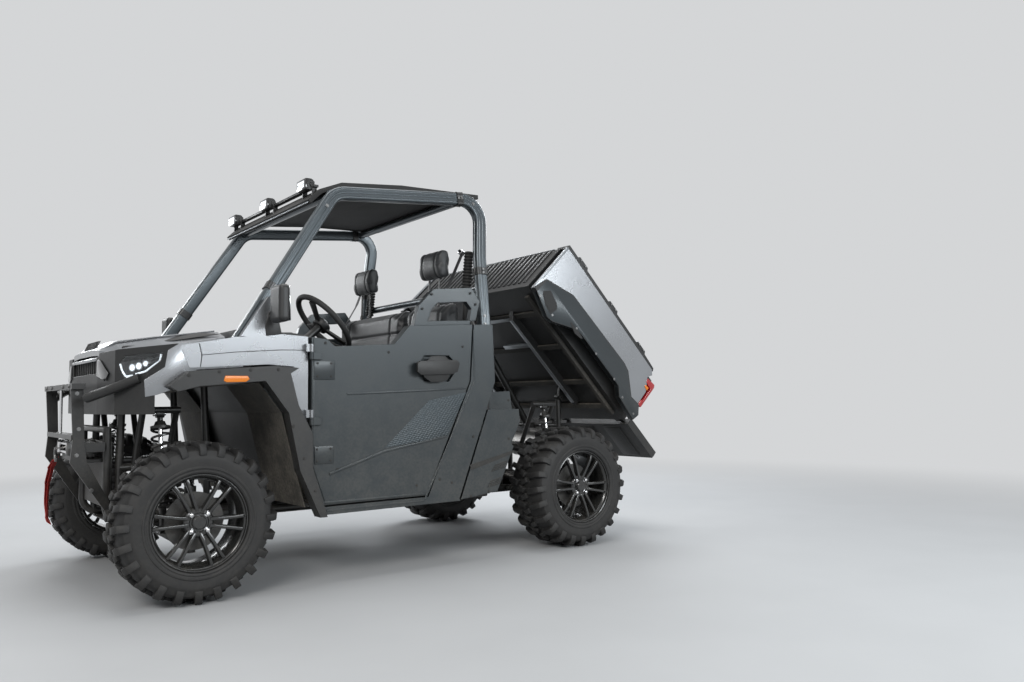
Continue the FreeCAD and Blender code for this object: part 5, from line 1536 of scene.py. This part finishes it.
def hang_pad(pad, replaced=()):
    pad.data.materials.clear()
    pad.data.materials.append(FINISHES["seat_cover"])
    pad.data.polygons.foreach_set("use_smooth", [True] * len(pad.data.polygons))
    smooth = pad.modifiers.new("subdivision", "SUBSURF")
    smooth.levels = smooth.render_levels = 1
    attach(pad, "chassis")
    if replaced:
        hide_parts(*replaced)


# %% Seat cushions and backs
SEATS = (
    # (name, right edge, left edge)
    ("driver", 178, 612),
    ("passenger", -612, 152),
)
for name, y0, y1 in SEATS:
    cushion = pad_slab("cushion_" + name, [(712, 650), (1115, 664), (1152, 706), (1150, 748), (1095, 762),
                                           (780, 728), (712, 726)], y0 + 8, y1 - 8, 22)
    swell(cushion)
    places = [(spot(x, 0, 730), (1, 0, 0.1)) for x in (880, 1040)]
    places += [(spot(0, y0 + share * (y1 - y0), 0), (0, 1, 0)) for share in (0.17, 0.83)]
    sew(cushion, places)
    hang_pad(cushion, ("seat_cushions",) if name == "driver" else ())
    back = pad_slab("back_" + name, [(655, 760), (770, 760), (790, 810), (750, 1290), (716, 1322),
                                     (684, 1318), (655, 1000)], y0 + 8, y1 - 8, 24)
    swell(back)
    places = [(spot(0, 0, z), (0.08, 0, 1)) for z in (930, 1130, 1240)]
    places += [(spot(0, y0 + share * (y1 - y0), 0), (0, 1, 0)) for share in (0.17, 0.83)]
    sew(back, places)
    hang_pad(back, ("seat_backs",) if name == "driver" else ())
    print(name, "seat", len(cushion.data.polygons) + len(back.data.polygons), "faces")

# %% Head restraints
for name, y in (("driver", 395), ("passenger", -395)):
    head = pad_slab("head_restraint_" + name, [(668, 1462), (722, 1456), (740, 1500), (734, 1580),
                                               (716, 1606), (676, 1606), (664, 1560)], y - 106, y + 106, 20)
    swell(head)
    sew(head, [(spot(0, y + side * 62, 0), (0, 1, 0)) for side in (-1, 1)], 0.005, 0.006)
    hang_pad(head)
stalks = bmesh.new()
for y in (395, -395):
    for off in (-50, 50):
        add_pipe(stalks, [spot(704, y + off, 1290), spot(702, y + off, 1400), spot(700, y + off, 1475)], 6,
                 40, 16)
        add_cylinder(stalks, spot(705, y + off, 1308), spot(704, y + off, 1330), 11, 20, 9)
finish_piece("head_restraint_stalks", stalks, "chassis", "frame_black")

# %% [markdown]
# The belts run from reels behind the seats, through ribbed sleeves that hold their upper guides, over
# the seats' outer shoulders and down to the buckles between the seats.

# %% Belts, sleeves and buckles
SLEEVE_RIBS, RIB_PITCH = 15, 17
sleeves, belts, buckles = (bmesh.new() for i in range(3))
for way in (1, -1):
    profile = [(0, 0)]
    for i in range(SLEEVE_RIBS):
        foot = i * RIB_PITCH
        profile += [(foot, 20), (foot + 6, 26), (foot + 11, 26), (foot + RIB_PITCH, 20)]
    profile += [(SLEEVE_RIBS * RIB_PITCH, 0)]
    add_turned(sleeves, profile, spot(600, way * 545, 1343), (-0.10, 0, 1), 24)
    add_cylinder(sleeves, spot(603, way * 545, 1200), spot(600, way * 545, 1350), 16, 20)
    webbing(belts, [spot(618, way * 545, 1588), spot(700, way * 528, 1400), spot(812, way * 480, 1250),
                    spot(852, way * 380, 1000), spot(862, way * 260, 830), spot(850, way * 205, 790)], 46,
                    1.8,
            Vector((0, 1, 0.4)))
    webbing(belts, [spot(850, way * 212, 792), spot(872, way * 320, 800), spot(880, way * 480, 795),
                    spot(840, way * 598, 770), spot(800, way * 622, 640)], 46, 1.8, Vector((1, 0, 0.35)))
    for off in (0, 26):
        side_plate(buckles, [(820, 700), (848, 700), (862, 790), (838, 798)], way * (190 + off) - 9,
                   way * (190 + off) + 9)
    add_cylinder(buckles, spot(618, way * 545, 1582), spot(618, way * 520, 1600), 15, 20)
soften(buckles, 3.0, 2)
finish_piece("belt_sleeves", sleeves, "chassis", "rubber_matt")
finish_piece("seat_belts", belts, "chassis", "belt_webbing")
finish_piece("belt_buckles", buckles, "chassis", "chrome")

# %% [markdown]
# The steering wheel has a thick grip, three flat spokes and a plain round boss. It is turned about
# its own column, so it is built upright at the origin and then set on the column's line.

# %% Steering wheel
WHEEL_SPOT = spot(1345, 395, 1190)
WHEEL_TURN = Matrix.Rotation(math.radians(-48), 4, "Y") @ Matrix.Rotation(math.radians(90), 4, "X")
WHEEL_RADIUS = 165.0
grip, spokes = bmesh.new(), bmesh.new()
ring = [Vector((math.cos(2 * math.pi * i / 72), 0, math.sin(2 * math.pi * i / 72))) * (WHEEL_RADIUS * MM)
        for i in range(72)]
add_pipe(grip, ring, 14, 0, 20, closed=True)
for i in range(3):
    turn = math.radians(90 + 120 * i)
    flat = [Vector((r * math.cos(turn + a), -0.004 - 0.012 * (r < 0.1), r * math.sin(turn + a)))
            for r, a in ((0.040, -0.36), (0.152, -0.13), (0.152, 0.13), (0.040, 0.36))]
    add_outline(spokes, flat, Vector((0, -0.011, 0)))
add_turned(spokes, [(-34, 0), (-34, 40), (-12, 46), (0, 42), (6, 30), (7, 0)], Vector((0, 0, 0)), (0, 1, 0),
           48)
soften(spokes, 2.0, 2)
for bm in (grip, spokes):
    bmesh.ops.transform(bm, matrix=Matrix.Translation(WHEEL_SPOT) @ WHEEL_TURN, verts=bm.verts[:])
finish_piece("wheel_grip", grip, "steering_wheel", "rubber_matt", ("steering_wheel",))
finish_piece("wheel_spokes", spokes, "steering_wheel", "trim_black")

# %% Instruments, switches, gear lever, pedals and grab bar
pods, faces, knobs, bar = bmesh.new(), bmesh.new(), bmesh.new(), bmesh.new()


def dash_spot(along, y, up):
    """A place on the dash's rear slope, along it from its top and out from it."""
    top, low = Vector((1490, 1070)), Vector((1484, 960))
    way = (low - top).normalized()
    flat = top + way * along + Vector((way.y, -way.x)) * up
    return spot(flat.x, y, flat.y)


side_plate(pods, [(1490, 1098), (1560, 1128), (1660, 1124), (1660, 1112), (1560, 1108), (1490, 1066),
                  (1478, 1062)],
           275, 515)
side_plate(faces, [(1488, 1070), (1492, 1094), (1494, 1093), (1490, 1069)], 300, 490)
for y0, y1, a0, a1 in ((-90, 120, 12, 92), (140, 200, 20, 80), (-560, -300, 14, 96)):
    corners = [dash_spot(a, y, 0.5) for a, y in ((a0, y0), (a0, y1), (a1, y1), (a1, y0))]
    add_outline(pods, corners, dash_spot(a0, y0, 4) - dash_spot(a0, y0, 0))
corners = [dash_spot(a, y, 4.6) for a, y in ((22, -70), (22, 100), (74, 100), (74, -70))]
add_outline(faces, corners, dash_spot(0, 0, 1.2) - dash_spot(0, 0, 0))
for i in range(6):
    y = 150 + (i % 2) * 26
    a = 30 + (i // 2) * 20
    corners = [dash_spot(p, q, 4) for p, q in ((a, y), (a, y + 18), (a + 13, y + 18), (a + 13, y))]
    add_outline(knobs, corners, dash_spot(0, 0, 5) - dash_spot(0, 0, 0))
add_cylinder(knobs, spot(1480, 60, 930), spot(1400, 70, 1010), 7, 16)
bmesh.ops.create_uvsphere(knobs, u_segments=24, v_segments=14, radius=0.024,
                          matrix=Matrix.Translation(spot(1394, 71, 1018)))
add_pipe(bar, [spot(1500, -250, 1080), spot(1450, -262, 1096), spot(1450, -540, 1096),
               spot(1500, -552, 1080)], 12, 26, 20)
for bm, width in ((pods, 3.0), (faces, 0.6)):
    soften(bm, width, 2)
for y in (330, 470):
    add_box(knobs, (1526, y - 30, 430), (1534, y + 30, 505))
    for i in range(5):
        add_box(knobs, (1523, y - 26, 438 + i * 13), (1526, y + 26, 443 + i * 13))
    add_pipe(knobs, [spot(1534, y, 478), spot(1562, y, 585), spot(1634, y, 625)], 7, 30, 16)
finish_piece("instrument_pods", pods, "chassis", "trim_black")
finish_piece("instrument_faces", faces, "chassis", "screen_black")
finish_piece("switches_and_lever", knobs, "chassis", "rubber_matt")
finish_piece("grab_bar", bar, "chassis", "rubber_matt")

# %% Floor mat ribs
mat = bmesh.new()
for i in range(22):
    y = -588 + i * 56
    add_box(mat, (1140, y - 9, 343.6), (1540, y + 9, 347))
soften(mat, 1.2, 1)
finish_piece("floor_ribs", mat, "chassis", "liner_dusty")
print("cab fitted")

# %% [markdown]
# ## Cargo bed
# The bed is parked tipped up, so all of its pieces are placed with `bed_spot` and ride on it. Its
# front wall has a bright top edge, its side skins a bright strip at the front and a dark groove below,
# and notched brackets for lashing stand on the rails.

# %% Bed edges, brackets, studs and grooves
edges_bright, brackets, studs, grooves = (bmesh.new() for i in range(4))


def bed_box(bm, low, high):
    (u0, y0, d0), (u1, y1, d1) = low, high
    corners = [bed_spot(u, y, d0) for u, y in ((u0, y0), (u1, y0), (u1, y1), (u0, y1))]
    add_outline(bm, corners, bed_spot(u0, y0, d1) - corners[0])


bed_box(edges_bright, (-4, -600, -5), (30, 600, -0.5))
for way in (-1, 1):
    low, high = sorted((way * 704, way * 717))
    bed_plate(edges_bright, [(-1, 4), (12, 4), (12, 246), (-1, 330)], low, high)
    low, high = sorted((way * 626, way * 690))
    for u in (140, 470, 790):
        bed_plate(brackets, [(u - 34, -32), (u - 26, -46), (u - 10, -46), (u - 6, -38), (u + 6, -38),
                             (u + 10, -46), (u + 26, -46), (u + 34, -32)], low, high)
        for off in (-22, 22):
            bolt_head(studs, bed_spot(u + off, way * 716, -26), (0, way, 0), 5, 3)
    low, high = sorted((way * 714, way * 717.5))
    bed_plate(grooves, [(27, 250), (217, 164), (752, 145), (805, 155), (930, 246), (1000, 236), (1000, 242),
                        (930, 254), (805, 162), (752, 152), (217, 171), (27, 258)], low, high)
    low, high = sorted((way * 724, way * 729))
    bed_plate(grooves, [(309, 303), (371, 318), (421, 306), (430, 293), (371, 290), (309, 292)], low, high)
    for u, d in ((60, 370), (190, 380), (360, 300), (560, 292), (760, 292), (880, 320), (1010, 325)):
        bolt_head(studs, bed_spot(u, way * 727, d - 12), (0, way, 0), 6, 3)
for bm, width in ((edges_bright, 1.6), (brackets, 2.0)):
    soften(bm, width, 2)
finish_piece("bed_bright_edges", edges_bright, "bed", "silver_trim")
finish_piece("bed_brackets", brackets, "bed", "trim_black")
finish_piece("bed_grooves", grooves, "bed", "rubber_matt")
finish_piece("bed_studs", studs, "bed", "dark_steel")

# %% Tail lamps with ribs, markers and the tailgate's strikers
lens, ribs, marks, latch = (bmesh.new() for i in range(4))
for way in (-1, 1):
    low, high = sorted((way * 648, way * 717))
    bed_plate(lens, [(956, 66), (1024, 53), (1035, 67), (1035, 234), (1006, 238), (1004, 200), (1018, 196),
                     (1018, 96), (962, 92)], low, high)
    low, high = sorted((way * 664, way * 706))
    bed_plate(ribs, [(1035, 80), (1038, 82), (1038, 220), (1035, 224)], low, high)
    for d in range(90, 220, 12):
        low, high = sorted((way * 700, way * 718.5))
        bed_plate(ribs, [(1022, d), (1033, d), (1033, d + 4), (1022, d + 4)], low, high)
    low, high = sorted((way * 714, way * 718.5))
    bed_plate(marks, [(968, 110), (1000, 104), (1002, 126), (972, 122)], low, high)
    low, high = sorted((way * 600, way * 640))
    bed_plate(latch, [(1036, 30), (1060, 30), (1060, 46), (1046, 60), (1036, 60)], low, high)
for bm, width in ((lens, 3.0), (marks, 2.0), (latch, 2.0)):
    soften(bm, width, 3)
finish_piece("tail_lamp_lenses", lens, "bed", "lamp_red", ("tail_lamps",))
finish_piece("tail_lamp_ribs", ribs, "bed", "lamp_red")
finish_piece("tail_markers", marks, "bed", "amber_lens")
finish_piece("gate_strikers", latch, "bed", "dark_steel")

# %% Underside: cross bars and side rails
under = bmesh.new()
for u in (170, 420, 700, 900):
    bed_box(under, (u, -600, 330), (u + 34, 600, 344))
for way in (-1, 1):
    low, high = sorted((way * 575, way * 605))
    bed_box(under, (60, low, 330), (980, high, 352))
soften(under, 2.5, 1)
finish_piece("bed_under_bars", under, "bed", "liner_dusty")

# %% Ribs, bright struts, lower trims and their grips
wall_ribs, floor_ribs, struts, trims, holes = (bmesh.new() for i in range(5))
WALL_RIBS, FLOOR_RIBS = 25, 9
for i in range(WALL_RIBS):
    y = -576 + i * 48
    bed_box(wall_ribs, (-6, y - 10, 10), (0, y + 10, 290))
    bed_box(wall_ribs, (36, y - 10, 10), (41, y + 10, 262))
for i in range(FLOOR_RIBS):
    y = -520 + i * 130
    bed_box(floor_ribs, (60, y - 22, 264), (1020, y + 22, 270))
for way in (-1, 1):
    low, high = sorted((way * 338, way * 366))
    bed_box(struts, (190, low, 365), (860, high, 369))
    low, high = sorted((way * 690, way * 727.6))
    bed_plate(trims, [(24, 357), (174, 403), (217, 392), (362, 292), (427, 284), (741, 281), (812, 283),
                      (860, 323), (1033, 339), (1045, 289), (1004, 240), (930, 256), (805, 165), (752, 155),
                      (217, 174), (27, 260)], low, high)
bed_box(struts, (188, 100, 330), (212, 338, 346))
bed_box(struts, (392, 60, 330), (420, 338, 346))
for bm, width in ((wall_ribs, 1.5), (floor_ribs, 1.5), (struts, 1.2), (trims, 4.0)):
    soften(bm, width, 2)
HANDLE = ((219, 1403), (157, 1408), (107, 1323), (107, 1287), (165, 1253), (204, 1308), (225, 1377))
middle = (sum(x for x, z in HANDLE) / len(HANDLE), sum(z for x, z in HANDLE) / len(HANDLE))
for share, out in ((0.84, 728.4), (0.66, 729.4)):
    loop = [(middle[0] + (x - middle[0]) * share, middle[1] + (z - middle[1]) * share) for x, z in HANDLE]
    for way in (-1, 1):
        low, high = sorted((way * 726, way * out))
        side_plate(holes, loop, low, high)
bmesh.ops.recalc_face_normals(holes, faces=holes.faces[:])
finish_piece("bed_wall_ribs", wall_ribs, "bed", "trim_black")
finish_piece("bed_floor_ribs", floor_ribs, "bed", "trim_black")
finish_piece("bed_struts", struts, "bed", "silver_trim")
finish_piece("bed_lower_trims", trims, "bed", "body_slate")
finish_piece("bed_grips", holes, "bed", "rubber_matt")

# %% Tailgate: inner ribs, pull and latch bar
gate, pull = bmesh.new(), bmesh.new()
for i in range(9):
    y = -560 + i * 140
    bed_plate(gate, [(1100, 283.5), (1106, 277), (1356, 277), (1362, 283.5)], y - 24, y + 24)
for i in range(5):
    y = -480 + i * 240
    bed_plate(gate, [(1104, 328.5), (1112, 334), (1350, 334), (1358, 328.5)], y - 70, y + 70)
for way in (-1, 1):
    low, high = sorted((way * 604, way * 638))
    bed_box(pull, (1330, low, 296), (1380, high, 316))
bed_box(pull, (1376, -110, 290), (1384, 110, 322))
for bm, width in ((gate, 2.5), (pull, 3)):
    soften(bm, width, 2)
finish_piece("tailgate_ribs", gate, "tailgate", "trim_black")
finish_piece("tailgate_latches", pull, "tailgate", "dark_steel")
print("bed and tailgate")
